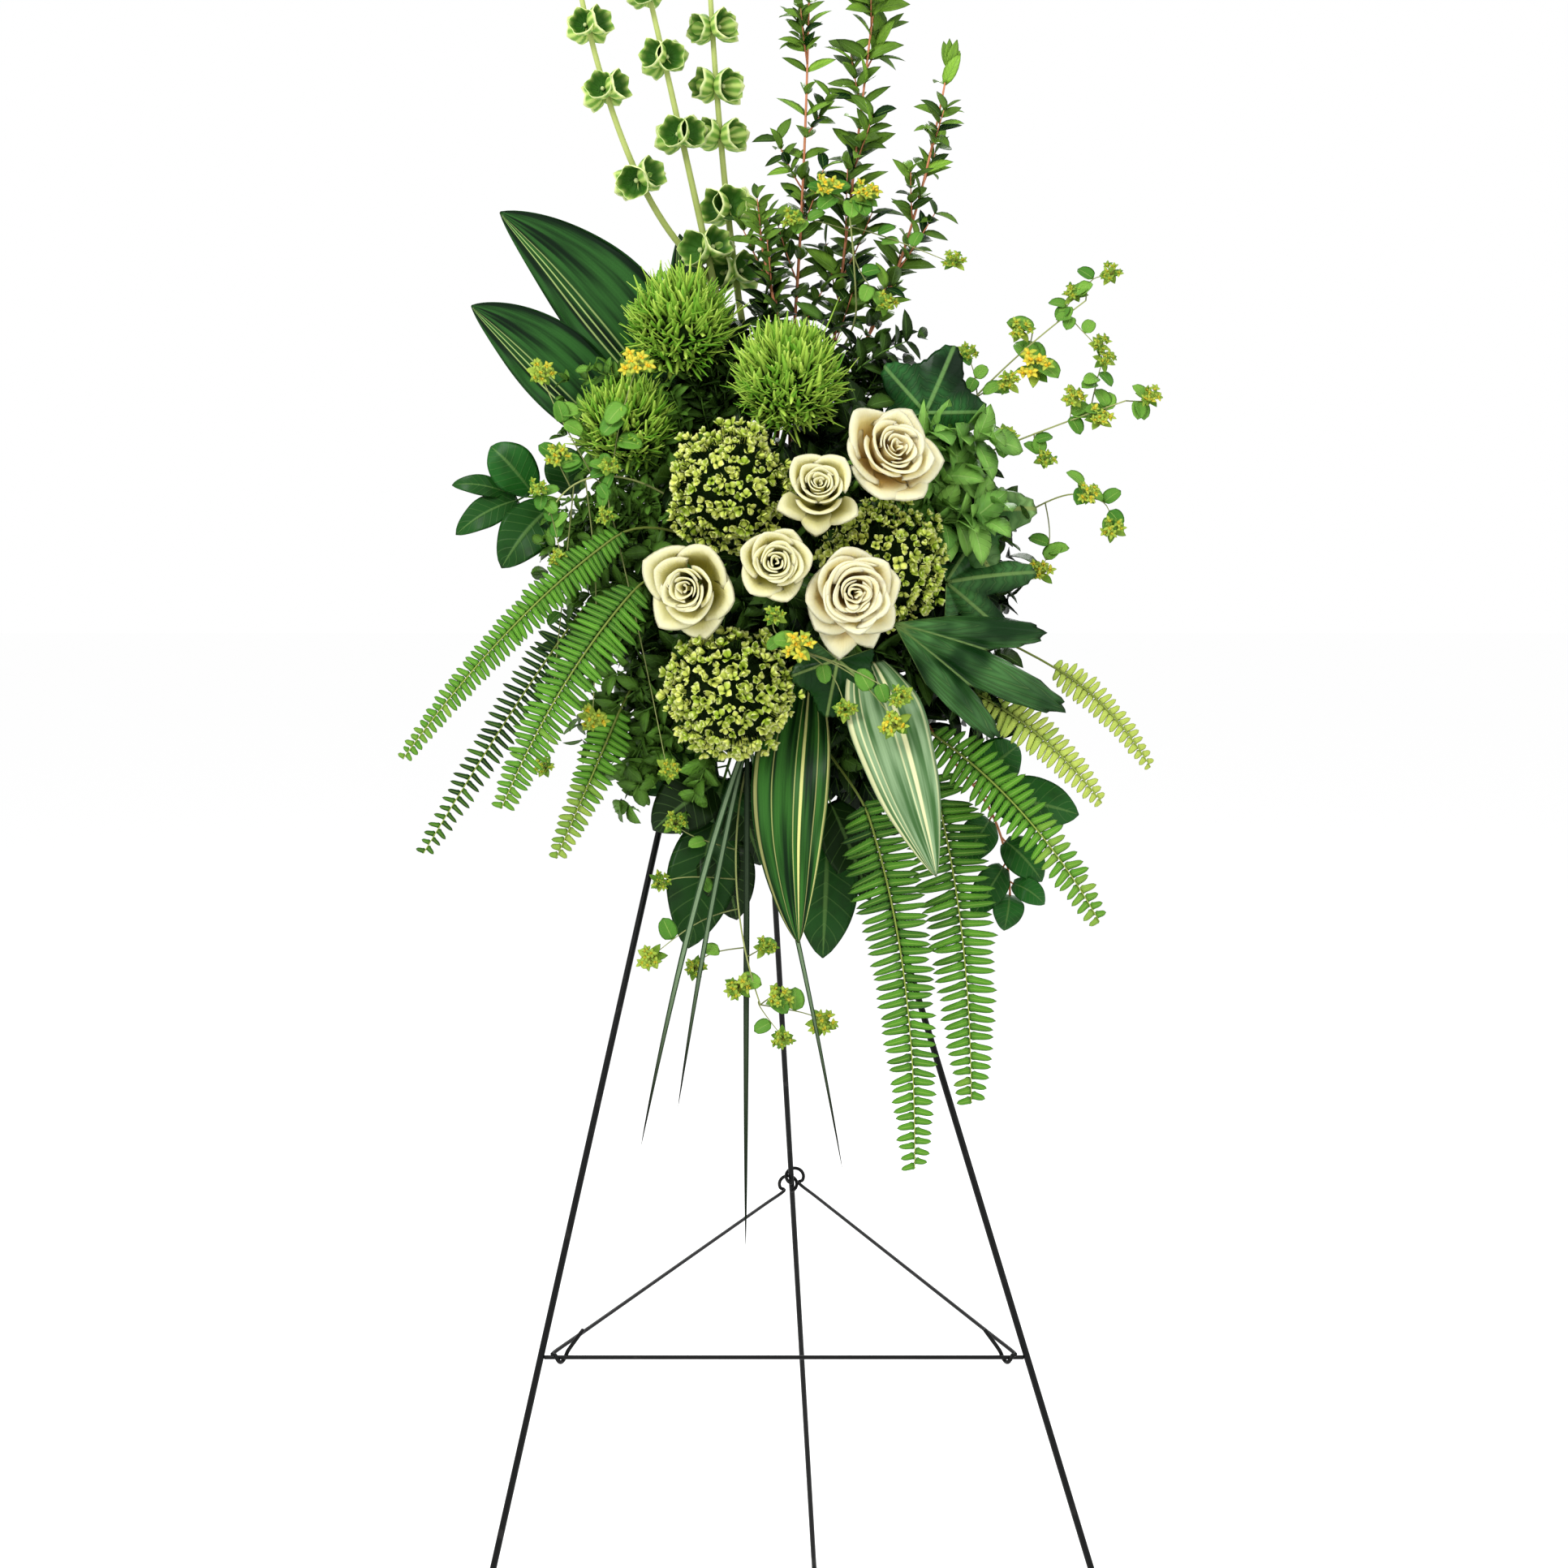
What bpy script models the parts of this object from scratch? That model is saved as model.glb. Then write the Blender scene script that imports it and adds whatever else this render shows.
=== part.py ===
"""A standing funeral arrangement: a spray of roses and foliage in a caged foam block, tied to a wire easel.

Metres, +Z up, the viewer looks along +Y. The origin is on the floor, under the middle of the whole piece.
"""
import math
import random

import bmesh
import bpy
import numpy as np
from mathutils import Matrix, Vector
from mathutils.bvhtree import BVHTree

# Easel: 54 inch florist's stand of black wire
APEX = Vector((-0.053, -0.060, 1.370))
LEFT_FOOT = Vector((-0.360, -0.400, 0.0))
RIGHT_FOOT = Vector((0.367, -0.400, 0.0))
REAR_FOOT = Vector((0.020, 0.400, 0.0))
LEG_RADIUS = 0.0031
BRACE_RADIUS = 0.0019
LEG_SPREAD_AT_TOP = 0.0040
ROD_HEIGHT = 0.524
EYE_HEIGHT = 0.548
EYE_RADIUS = 0.0100
EYE_TILT = math.radians(50)
EYE_PITCH = 0.0001
HOOK_INSET = 0.017
TAIL_HEIGHT = 0.024
COLLAR_DROP = 0.008
COLLAR_WIRE = 0.0015

# Fits between neighbouring pieces
GAP = 0.0003
CLEARANCE = 0.0006

# Foam block in its cage, leaning back with the front legs
FOAM_WIDTH, FOAM_HEIGHT, FOAM_DEPTH = 0.110, 0.215, 0.070
FOAM_CENTRE_X, FOAM_CENTRE_Z = -0.045, 1.242
CAGE_WALL = 0.0025
CAGE_RIM = 0.012
BAND_WIDTH = 0.004
BAND_ROWS = (-0.036, 0.036)
TAB_LENGTH = 0.030
TAB_WIDTH = 0.012
TIE_RADIUS = 0.0012
HOLE_DEPTH = 0.016
HOLE_PITCH = 0.0131

# Thickness of leaves and petals
LEAF_THICKNESS = 0.0009
PETAL_THICKNESS = 0.0012


def clear_scene():
    for thing in list(bpy.data.objects):
        bpy.data.objects.remove(thing)
    for group in list(bpy.data.collections):
        bpy.data.collections.remove(group)


clear_scene()
arrangement = bpy.data.collections.new("standing_funeral_arrangement")
cutters = bpy.data.collections.new("cutters")
bpy.context.scene.collection.children.link(arrangement)
bpy.context.scene.collection.children.link(cutters)
standing = []


def finish(name, colour, roughness, metallic=0.0):
    material = bpy.data.materials.new(name)
    material.use_nodes = True
    shader = material.node_tree.nodes["Principled BSDF"]
    shader.inputs["Base Color"].default_value = (*colour, 1)
    shader.inputs["Roughness"].default_value = roughness
    shader.inputs["Metallic"].default_value = metallic
    return material


BLACK_WIRE = finish("black_painted_wire", (0.012, 0.013, 0.013), 0.4, 0.6)
TIE_WIRE = finish("green_tie_wire", (0.03, 0.09, 0.03), 0.5, 0.3)
FOAM = finish("wet_foam", (0.04, 0.13, 0.06), 0.95)
CAGE = finish("green_cage_plastic", (0.02, 0.10, 0.04), 0.5)
ROSE = finish("cream_rose", (0.83, 0.78, 0.60), 0.6)
VIBURNUM = finish("lime_florets", (0.30, 0.38, 0.05), 0.65)
DIANTHUS = finish("green_dianthus", (0.13, 0.30, 0.05), 0.75)
BELL = finish("pale_green_bells", (0.27, 0.42, 0.14), 0.6)
MYRTLE = finish("myrtle_leaf", (0.04, 0.16, 0.04), 0.45)
ASPIDISTRA = finish("striped_aspidistra", (0.03, 0.13, 0.04), 0.35)
FATSIA = finish("fatsia_leaf", (0.015, 0.09, 0.03), 0.3)
SALAL = finish("salal_leaf", (0.02, 0.10, 0.03), 0.4)
FERN = finish("sword_fern", (0.10, 0.27, 0.06), 0.6)
BUPLEURUM = finish("bupleurum", (0.28, 0.42, 0.08), 0.6)
GRASS = finish("lily_grass", (0.06, 0.14, 0.06), 0.5)


def from_bmesh(bm, name="piece"):
    """A loose object, not yet in a collection, from a bmesh."""
    mesh = bpy.data.meshes.new(name)
    bm.to_mesh(mesh)
    bm.free()
    return bpy.data.objects.new(name, mesh)


def evaluated_mesh(thing):
    bpy.context.view_layer.update()
    graph = bpy.context.evaluated_depsgraph_get()
    return bpy.data.meshes.new_from_object(thing.evaluated_get(graph), depsgraph=graph)


def tube(points, radius, taper=1.0, rounding=0):
    """A wire or stem along the points, as a mesh: taper is the far end's share of the radius."""
    curve = bpy.data.curves.new("route", "CURVE")
    curve.dimensions = "3D"
    curve.bevel_depth = radius
    curve.bevel_resolution = rounding
    curve.use_fill_caps = True
    spline = curve.splines.new("POLY")
    spline.points.add(len(points) - 1)
    for index, point in enumerate(points):
        spline.points[index].co = (*point, 1)
        spline.points[index].radius = 1 + (taper - 1) * index / (len(points) - 1)
    route = bpy.data.objects.new("route", curve)
    bpy.context.scene.collection.objects.link(route)
    bm = bmesh.new()
    bm.from_mesh(evaluated_mesh(route))
    bpy.data.objects.remove(route)
    bmesh.ops.remove_doubles(bm, verts=bm.verts, dist=1e-6)
    bmesh.ops.recalc_face_normals(bm, faces=bm.faces)
    return from_bmesh(bm)


def island_faces(bm):
    """The faces of the largest connected piece of a bmesh."""
    waiting, largest = set(bm.faces), []
    while waiting:
        queue, found = [waiting.pop()], []
        while queue:
            face = queue.pop()
            found.append(face)
            for edge in face.edges:
                for other in edge.link_faces:
                    if other in waiting:
                        waiting.discard(other)
                        queue.append(other)
        if len(found) > len(largest):
            largest = found
    return largest


def is_closed(bm):
    return all(len(edge.link_faces) == 2 for edge in bm.edges)


def joined(pieces):
    """One Boolean union on a collection: the first piece takes in all the others."""
    base, others = pieces[0], bpy.data.collections.new("joined")
    bpy.context.scene.collection.children.link(others)
    bpy.context.scene.collection.objects.link(base)
    for piece in pieces[1:]:
        others.objects.link(piece)
    bm = bmesh.new()
    for solver in ("EXACT", "MANIFOLD"):
        union = base.modifiers.new("union", "BOOLEAN")
        union.operation = "UNION"
        union.operand_type = "COLLECTION"
        union.collection = others
        union.solver = solver
        bm.clear()
        bm.from_mesh(evaluated_mesh(base))
        base.modifiers.remove(union)
        if is_closed(bm):
            break
    for piece in pieces:
        bpy.data.objects.remove(piece)
    bpy.data.collections.remove(others)
    return bm


def tree_of(bm):
    return BVHTree.FromBMesh(bm)


def place(name, pieces, material, flat=True):
    """Fuses the pieces into one named node and keeps its surface for the clearance test."""
    if len(pieces) > 1:
        bm = joined(pieces)
    else:
        bm = bmesh.new()
        bm.from_mesh(pieces[0].data)
        bpy.data.objects.remove(pieces[0])
    bmesh.ops.triangulate(bm, faces=bm.faces)
    keep = set(island_faces(bm))
    bmesh.ops.delete(bm, geom=[face for face in bm.faces if face not in keep], context="FACES")
    standing.append(tree_of(bm))
    node = from_bmesh(bm, name)
    node.data.name = name
    node.data.materials.append(material)
    if not flat:
        node.data.shade_smooth()
    arrangement.objects.link(node)
    return node


def is_clear(piece, margin=CLEARANCE):
    """True where the piece, swollen by the margin, crosses no node that already stands."""
    bm = bmesh.new()
    bm.from_mesh(piece.data)
    bm.normal_update()
    for vert in bm.verts:
        vert.co += vert.normal * margin
    mine = tree_of(bm)
    bm.free()
    return not any(mine.overlap(tree) for tree in standing)


def keep_clear(pieces, held=1):
    """The first pieces, and those of the rest that touch no neighbour."""
    kept = list(pieces[:held])
    for piece in pieces[held:]:
        if is_clear(piece):
            kept.append(piece)
        else:
            bpy.data.objects.remove(piece)
    return kept


def frame_at(tangent, facing):
    """Across and outward directions of a blade that runs along the tangent and shows its face."""
    along = Vector(tangent).normalized()
    across = along.cross(Vector(facing)).normalized()
    return along, across, across.cross(along)


def through(start, middle, end, t):
    """The parabola that passes start, middle and end at t = 0, 0.5 and 1, and its direction."""
    start, middle, end = Vector(start), Vector(middle), Vector(end)
    pull = 2 * middle - (start + end) / 2
    point = (1 - t) ** 2 * start + 2 * t * (1 - t) * pull + t ** 2 * end
    return point, 2 * (1 - t) * (pull - start) + 2 * t * (end - pull)


# Easel
BELOW_FLOOR = 0.01


def leg(name, foot, off_axis):
    """A straight rod from beside the apex to just below the floor, where it is cut flat."""
    top = APEX + off_axis
    bottom = foot + (foot - top) * BELOW_FLOOR
    rod = tube([top, bottom], LEG_RADIUS, rounding=2)
    arrangement.objects.link(rod)
    cut = rod.modifiers.new("floor", "BOOLEAN")
    cut.operation = "DIFFERENCE"
    cut.object = floor_cutter
    bm = bmesh.new()
    bm.from_mesh(evaluated_mesh(rod))
    bpy.data.objects.remove(rod)
    return place(name, [from_bmesh(bm)], BLACK_WIRE, flat=False)


def floor_block():
    bm = bmesh.new()
    bmesh.ops.create_cube(bm, size=1.0, matrix=Matrix.Translation((0, 0, -0.5)) @ Matrix.Scale(2, 4))
    for vert in bm.verts:
        vert.co.z = min(vert.co.z, 0.0)
    block = from_bmesh(bm, "floor_cutter")
    block.hide_render = True
    block.display_type = "WIRE"
    cutters.objects.link(block)
    return block


floor_cutter = floor_block()
OFF_AXIS = {
    "leg_left": Vector((-0.87, -0.50, 0)) * LEG_SPREAD_AT_TOP,
    "leg_right": Vector((0.87, -0.50, 0)) * LEG_SPREAD_AT_TOP,
    "leg_rear": Vector((0, 1, 0)) * LEG_SPREAD_AT_TOP,
}
FEET = {"leg_left": LEFT_FOOT, "leg_right": RIGHT_FOOT, "leg_rear": REAR_FOOT}
for leg_name, foot in FEET.items():
    leg(leg_name, foot, OFF_AXIS[leg_name])


def on_leg(name, height):
    """The middle of a leg at this height."""
    top = APEX + OFF_AXIS[name]
    return top.lerp(FEET[name], (top.z - height) / top.z)


def collar():
    """A wire ring that binds the three rods just under their tops."""
    middle = sum((on_leg(name, APEX.z - COLLAR_DROP) for name in FEET), Vector()) / 3
    reach = max((on_leg(name, APEX.z - COLLAR_DROP) - middle).length for name in FEET)
    bm = bmesh.new()
    ring = reach + LEG_RADIUS + COLLAR_WIRE + 2 * GAP
    turns, sides = 12, 4
    bmesh.ops.create_grid(bm, x_segments=turns, y_segments=sides, size=1.0)
    for vert in bm.verts:
        round_ring, round_wire = math.pi * (vert.co.x + 1), math.pi * (vert.co.y + 1)
        out = ring + COLLAR_WIRE * math.cos(round_wire)
        rise = COLLAR_WIRE * math.sin(round_wire)
        vert.co = middle + Vector((out * math.cos(round_ring), out * math.sin(round_ring), rise))
    bmesh.ops.remove_doubles(bm, verts=bm.verts, dist=1e-6)
    bmesh.ops.recalc_face_normals(bm, faces=bm.faces)
    return place("apex_collar", [from_bmesh(bm)], BLACK_WIRE, flat=False)


collar()


def cross_rod():
    """The rod welded between the front legs, its ends a gap short of them."""
    left, right = on_leg("leg_left", ROD_HEIGHT), on_leg("leg_right", ROD_HEIGHT)
    inset = Vector((LEG_RADIUS + GAP * 2, 0, 0))
    return place("cross_rod", [tube([left + inset, right - inset], BRACE_RADIUS, rounding=2)],
                 BLACK_WIRE, flat=False)


cross_rod()


def side_wire(name, leg_name, side, eye_height):
    """A brace from an eye round the rear leg to a hook over the cross rod, beside a front leg."""
    rod = on_leg(leg_name, ROD_HEIGHT) - Vector((side * HOOK_INSET, 0, 0))
    wrap = 2 * BRACE_RADIUS + GAP * 2
    inward = -side
    hook = [rod + Vector((inward * 0.022, wrap + 0.002, TAIL_HEIGHT))]
    hook.append(rod + Vector((inward * 0.009, wrap + 0.0008, 0.006)))
    for step in range(7):
        turn = math.pi * (0.0 - step / 4)
        hook.append(rod + Vector((inward * (0.006 - 0.0018 * step), wrap * math.cos(turn),
                                  wrap * math.sin(turn))))
    rear = on_leg("leg_rear", eye_height)
    shift = EYE_RADIUS - BRACE_RADIUS - LEG_RADIUS - GAP * 3
    eye = rear + Vector((side * shift, 0, 0))
    rise = Vector((0, -math.sin(EYE_TILT), math.cos(EYE_TILT)))
    away = Vector((0, math.cos(EYE_TILT), math.sin(EYE_TILT)))
    ring = []
    for step in range(11):
        turn = math.radians(-60 + 31 * step)
        ring.append(eye + EYE_RADIUS * (Vector((side, 0, 0)) * math.cos(turn) + away * math.sin(turn))
                    + rise * EYE_PITCH * step)
    route = hook + ring
    return place(name, [tube(route, BRACE_RADIUS, rounding=0)], BLACK_WIRE, flat=False)


side_wire("side_wire_left", "leg_left", -1, EYE_HEIGHT)
side_wire("side_wire_right", "leg_right", 1, EYE_HEIGHT + 0.010)


# Foam block, leaning back in the plane of the front legs
SLOPE = (APEX - (LEFT_FOOT + RIGHT_FOOT) / 2)
UP = Vector((0, SLOPE.y, SLOPE.z)).normalized()
OUT = Vector((0, -UP.z, UP.y))
BACK_POINT = Vector((FOAM_CENTRE_X, on_leg("leg_left", FOAM_CENTRE_Z).y, FOAM_CENTRE_Z))
CAGE_BACK = BACK_POINT + OUT * (LEG_RADIUS + GAP)
FOAM_CENTRE = CAGE_BACK + OUT * (CAGE_WALL + GAP + FOAM_DEPTH / 2)


def foam_point(across, up, out):
    """A point in the foam's own directions, from its centre."""
    return FOAM_CENTRE + Vector((across, 0, 0)) + UP * up + OUT * out


def block(across, up, out):
    """A box in the foam's own directions; each argument is its lowest and highest value."""
    bm = bmesh.new()
    bmesh.ops.create_cube(bm, size=1.0)
    for vert in bm.verts:
        vert.co = foam_point(*(low + (high - low) * (value + 0.5)
                               for value, (low, high) in zip(vert.co, (across, up, out))))
    bmesh.ops.recalc_face_normals(bm, faces=bm.faces)
    return from_bmesh(bm)


def cage():
    """The tray behind the foam with its rim, two bands over the front, and two tabs for the ties."""
    wide, high, deep = FOAM_WIDTH / 2 + GAP, FOAM_HEIGHT / 2 + GAP, FOAM_DEPTH / 2 + GAP
    wall, back = CAGE_WALL, -FOAM_DEPTH / 2 - GAP
    rim = back + CAGE_RIM
    outer_wide, outer_high = wide + wall, high + wall
    pieces = [block((-outer_wide, outer_wide), (-outer_high, outer_high), (back - wall, back))]
    sunk = back - wall / 2
    for side in (-1, 1):
        low, high_edge = sorted((side * wide, side * outer_wide))
        pieces.append(block((low, high_edge), (-outer_high, outer_high), (sunk, rim)))
        low, high_edge = sorted((side * high, side * outer_high))
        pieces.append(block((-outer_wide, outer_wide), (low, high_edge), (sunk, rim)))
        for row in BAND_ROWS:
            band = (row - BAND_WIDTH / 2, row + BAND_WIDTH / 2)
            low, high_edge = sorted((side * (wide + 0.0004), side * (outer_wide - 0.0003)))
            pieces.append(block((low, high_edge), band, (rim - 0.003, deep + wall)))
    for row in BAND_ROWS:
        band = (row - BAND_WIDTH / 2 + 0.0002, row + BAND_WIDTH / 2 - 0.0002)
        pieces.append(block((-outer_wide + 0.0006, outer_wide - 0.0006), band, (deep, deep + wall - 0.0004)))
    for leg_name in ("leg_left", "leg_right"):
        foot_of_tray = foam_point(0, -outer_high - TAB_LENGTH, 0).z
        middle = on_leg(leg_name, foot_of_tray).x - FOAM_CENTRE.x
        pieces.append(block((middle - TAB_WIDTH / 2, middle + TAB_WIDTH / 2),
                            (-outer_high - TAB_LENGTH, -high - 0.0004),
                            (back - wall + 0.0002, back - 0.0002)))
    return place("foam_cage", pieces, CAGE)


def tie(name, leg_name):
    """A loop of tie wire round a leg and the tab of the cage in front of it."""
    height = foam_point(0, -FOAM_HEIGHT / 2 - TAB_LENGTH * 0.6, 0).z
    leg_middle = on_leg(leg_name, height)
    reach = TAB_WIDTH / 2 + TIE_RADIUS + 2 * GAP
    front = LEG_RADIUS + CAGE_WALL + TIE_RADIUS + 3 * GAP
    rear = -LEG_RADIUS - TIE_RADIUS * 0.62
    outline = [(-reach, front), (reach, front), (reach, 0.002), (0.45 * reach, rear), (-0.45 * reach, rear),
               (-reach, 0.002)]
    bm = bmesh.new()
    count, sides = len(outline), 4
    bmesh.ops.create_grid(bm, x_segments=count, y_segments=sides, size=1.0)
    middle = Vector((0, (front + rear) / 2))
    for vert in bm.verts:
        place_in_loop = round((vert.co.x + 1) / 2 * count) % count
        turn = math.pi * (vert.co.y + 1) + math.pi / 4
        corner = Vector(outline[place_in_loop])
        outward = (corner - middle).normalized()
        spot = corner + outward * TIE_RADIUS * math.cos(turn)
        vert.co = (leg_middle + Vector((spot.x, 0, 0)) + OUT * spot.y + UP * TIE_RADIUS * math.sin(turn))
    bmesh.ops.remove_doubles(bm, verts=bm.verts, dist=1e-6)
    bmesh.ops.recalc_face_normals(bm, faces=bm.faces)
    return place(name, [from_bmesh(bm)], TIE_WIRE)


cage()
tie("tie_left", "leg_left")
tie("tie_right", "leg_right")


# Places for stems: a grid of spots on the front, sides, top and bottom of the foam
def foam_spots():
    """Each spot is its mouth on the foam's face, and the face's outward direction."""
    columns = [HOLE_PITCH * (step - 3.5) for step in range(8)]
    rows = [HOLE_PITCH * (step - 7) for step in range(15)]
    rows = [row for row in rows if min(abs(row - band) for band in BAND_ROWS) > 0.0065]
    shallow = [-0.015, -0.002, 0.011]
    spots = []
    for row in rows:
        spots += [(foam_point(column, row, FOAM_DEPTH / 2), OUT) for column in columns]
        if abs(row) < 0.080:
            for side in (-1, 1):
                spots += [(foam_point(side * FOAM_WIDTH / 2, row, depth), Vector((side, 0, 0)))
                          for depth in shallow]
    for side in (-1, 1):
        spots += [(foam_point(column, side * FOAM_HEIGHT / 2, depth), UP * side)
                  for column in columns for depth in shallow]
    return spots


free_spots = foam_spots()
holes = []


def take_spot(head):
    """The free spot nearest to the line from the foam's heart to the head of the stem."""
    aim = (Vector(head) - FOAM_CENTRE).normalized()

    def off_line(spot):
        mouth, outward = spot
        to_head = (Vector(head) - mouth).normalized()
        return (mouth - FOAM_CENTRE).normalized().angle(aim) + 0.8 * outward.angle(to_head)

    best = min(range(len(free_spots)), key=lambda index: off_line(free_spots[index]))
    return free_spots.pop(best)


BOWS = [Vector((0, 0, 0))] + [
    Vector(way) * size for size in (0.012, 0.024, 0.036)
    for way in ((0, 0, -1), (0, 0, 1), (1, 0, 0), (-1, 0, 0), (0, 1, 0), (0, -1, 0))
]


def bowed_route(mouth, outward, head, arrival, bow, steps):
    """From the bottom of the hole straight out, then round to the head, with this much bow on the way."""
    reach = (head - mouth).length
    first, last = mouth + outward * (0.008 + 0.25 * reach) + bow, head - arrival * 0.35 * reach + bow
    points = [mouth - outward * (HOLE_DEPTH - GAP), mouth + outward * 0.002]
    for step in range(1, steps + 1):
        t = step / steps
        points.append((1 - t) ** 3 * points[1] + 3 * t * (1 - t) ** 2 * first
                      + 3 * t ** 2 * (1 - t) * last + t ** 3 * head)
    return points


def stem_route(head, arrival, radius, steps=2):
    """The first route to the head, from the straightest on, that touches no piece already standing."""
    mouth, outward = take_spot(head)
    holes.append((mouth, outward, radius))
    routes = [bowed_route(mouth, outward, Vector(head), Vector(arrival).normalized(), bow, steps)
              for bow in BOWS]
    for route in routes:
        trial = tube(route, radius)
        free = is_clear(trial)
        bpy.data.objects.remove(trial)
        if free:
            return route
    return routes[0]


def stem_to(head, arrival, radius, taper=0.8, steps=2):
    return tube(stem_route(head, arrival, radius, steps), radius, taper)


def axes_of(direction):
    """Two directions square to this one."""
    forward = Vector(direction).normalized()
    side = forward.cross(Vector((0, 0, 1)))
    side = (side if side.length > 0.1 else Vector((1, 0, 0))).normalized()
    return forward, side, side.cross(forward)


def ball(centre, radius, height, direction, rings=5, around=8):
    """A closed ball, stretched to this height along the direction."""
    forward, side, top = axes_of(direction)
    bm = bmesh.new()
    bmesh.ops.create_uvsphere(bm, u_segments=around, v_segments=rings, radius=1.0)
    for vert in bm.verts:
        x, y, z = vert.co
        vert.co = Vector(centre) + side * x * radius + top * y * radius + forward * z * height
    bmesh.ops.recalc_face_normals(bm, faces=bm.faces)
    return from_bmesh(bm)


def cone(base, tip, base_radius, tip_radius, sides=3, turn=0.0):
    """A spike or flared cup from base to tip."""
    forward, side, top = axes_of(Vector(tip) - Vector(base))
    length = (Vector(tip) - Vector(base)).length
    bm = bmesh.new()
    bmesh.ops.create_cone(bm, cap_ends=True, segments=sides, radius1=base_radius,
                          radius2=max(tip_radius, 0.0), depth=length)
    for vert in bm.verts:
        x, y, z = vert.co
        x, y = x * math.cos(turn) - y * math.sin(turn), x * math.sin(turn) + y * math.cos(turn)
        vert.co = Vector(base) + side * x + top * y + forward * (z + length / 2)
    bmesh.ops.remove_doubles(bm, verts=bm.verts, dist=1e-6)
    bmesh.ops.recalc_face_normals(bm, faces=bm.faces)
    return from_bmesh(bm)


def thickened(bm, thickness):
    """Turns an open surface into a closed blade that is split alike on both faces."""
    bmesh.ops.triangulate(bm, faces=bm.faces)
    bmesh.ops.recalc_face_normals(bm, faces=bm.faces)
    bmesh.ops.solidify(bm, geom=bm.faces[:], thickness=thickness)
    bmesh.ops.recalc_face_normals(bm, faces=bm.faces)
    return from_bmesh(bm)


def sphere_spots(count, cap):
    """Directions spread evenly over the part of a sphere within the cap angle of +Z: a golden spiral."""
    lowest = math.cos(cap)
    golden = math.pi * (3 - math.sqrt(5))
    for index in range(count):
        z = 1 - (1 - lowest) * (index + 0.5) / count
        ring = math.sqrt(1 - z * z)
        yield Vector((ring * math.cos(golden * index), ring * math.sin(golden * index), z))


# Roses: a bud wrapped in three rings of petals that open outwards
ROSES = {
    "rose_left": ((-0.101, -0.300, 1.235), (-0.30, -1.0, -0.05), 0.043),
    "rose_middle": ((-0.024, -0.322, 1.259), (0.0, -1.0, 0.05), 0.034),
    "rose_right": ((0.047, -0.310, 1.232), (0.15, -1.0, -0.10), 0.046),
    "rose_upper": ((0.016, -0.305, 1.320), (0.0, -0.9, 0.45), 0.034),
    "rose_top": ((0.084, -0.272, 1.353), (0.35, -0.9, 0.35), 0.045),
}
PETAL_RINGS = ((5, 0.95, 0.0), (3, 0.64, 0.4), (2, 0.36, 1.4))
SMALL_ROSE = 0.040


def petal(centre, direction, radius, opening, azimuth, width):
    """A petal from the heart of the bloom: it swells outwards, and its lip turns out to a soft point."""
    forward, side, top = axes_of(direction)
    bm = bmesh.new()
    bmesh.ops.create_grid(bm, x_segments=2, y_segments=2, size=1.0)
    for vert in bm.verts:
        across, t = vert.co.x, (vert.co.y + 1) / 2
        angle = azimuth + across * width * (0.55 + 0.45 * t)
        lip = 1 - 0.16 * across ** 2 * t
        out = radius * (0.10 + (opening - 0.10) * math.sin(t * math.pi / 2) ** 0.8) * lip
        rise = radius * (-0.42 + (0.95 - 0.55 * opening) * t ** 1.2 * (1 - 0.1 * across ** 2))
        vert.co = (Vector(centre) + side * out * math.cos(angle) + top * out * math.sin(angle)
                   + forward * rise)
    return thickened(bm, PETAL_THICKNESS)


def rose(name, centre, direction, radius):
    centre, facing = Vector(centre), Vector(direction).normalized()
    heart = centre - facing * radius * 0.42
    pieces = [stem_to(heart, facing, 0.003), ball(heart, radius * 0.30, radius * 0.26, facing, 3, 6),
              ball(centre, radius * 0.20, radius * 0.42, facing, 3, 5)]
    rings = PETAL_RINGS[:2] if radius < SMALL_ROSE else PETAL_RINGS
    for count, opening, turn in rings:
        for index in range(count):
            azimuth = turn + 2 * math.pi * index / count
            pieces.append(petal(centre, facing, radius, opening, azimuth, 0.92 * math.pi / count))
    return place(name, pieces, ROSE)


for rose_name, (centre, direction, radius) in ROSES.items():
    rose(rose_name, centre, direction, radius)


# Viburnum: mounded heads of small lime florets round a core
VIBURNUMS = {
    "viburnum_upper": ((-0.064, -0.258, 1.325), (-0.15, -1.0, 0.2), 0.054, 0.052),
    "viburnum_lower": ((-0.062, -0.277, 1.139), (-0.05, -1.0, -0.35), 0.058, 0.062),
    "viburnum_right": ((0.092, -0.215, 1.262), (0.45, -1.0, 0.05), 0.052, 0.052),
}
FLORETS = 22


def rotated(spot, direction):
    forward, side, top = axes_of(direction)
    return side * spot.x + top * spot.y + forward * spot.z


def viburnum(name, centre, direction, radius, depth):
    centre, facing = Vector(centre), Vector(direction).normalized()
    core = 0.76
    pieces = [stem_to(centre - facing * depth * 0.6, facing, 0.003),
              ball(centre, radius * core, depth * core, facing, 4, 7)]
    florets = []
    for index, spot in enumerate(sphere_spots(FLORETS, math.radians(118))):
        outward = rotated(Vector((spot.x * radius, spot.y * radius, spot.z * depth)), facing)
        florets.append(cone(centre + outward * 0.62, centre + outward, 0.0035, radius * 0.25, 4, index))
    return place(name, pieces + keep_clear(florets, 0), VIBURNUM)


for head_name, (centre, direction, radius, depth) in VIBURNUMS.items():
    viburnum(head_name, centre, direction, radius, depth)


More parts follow.
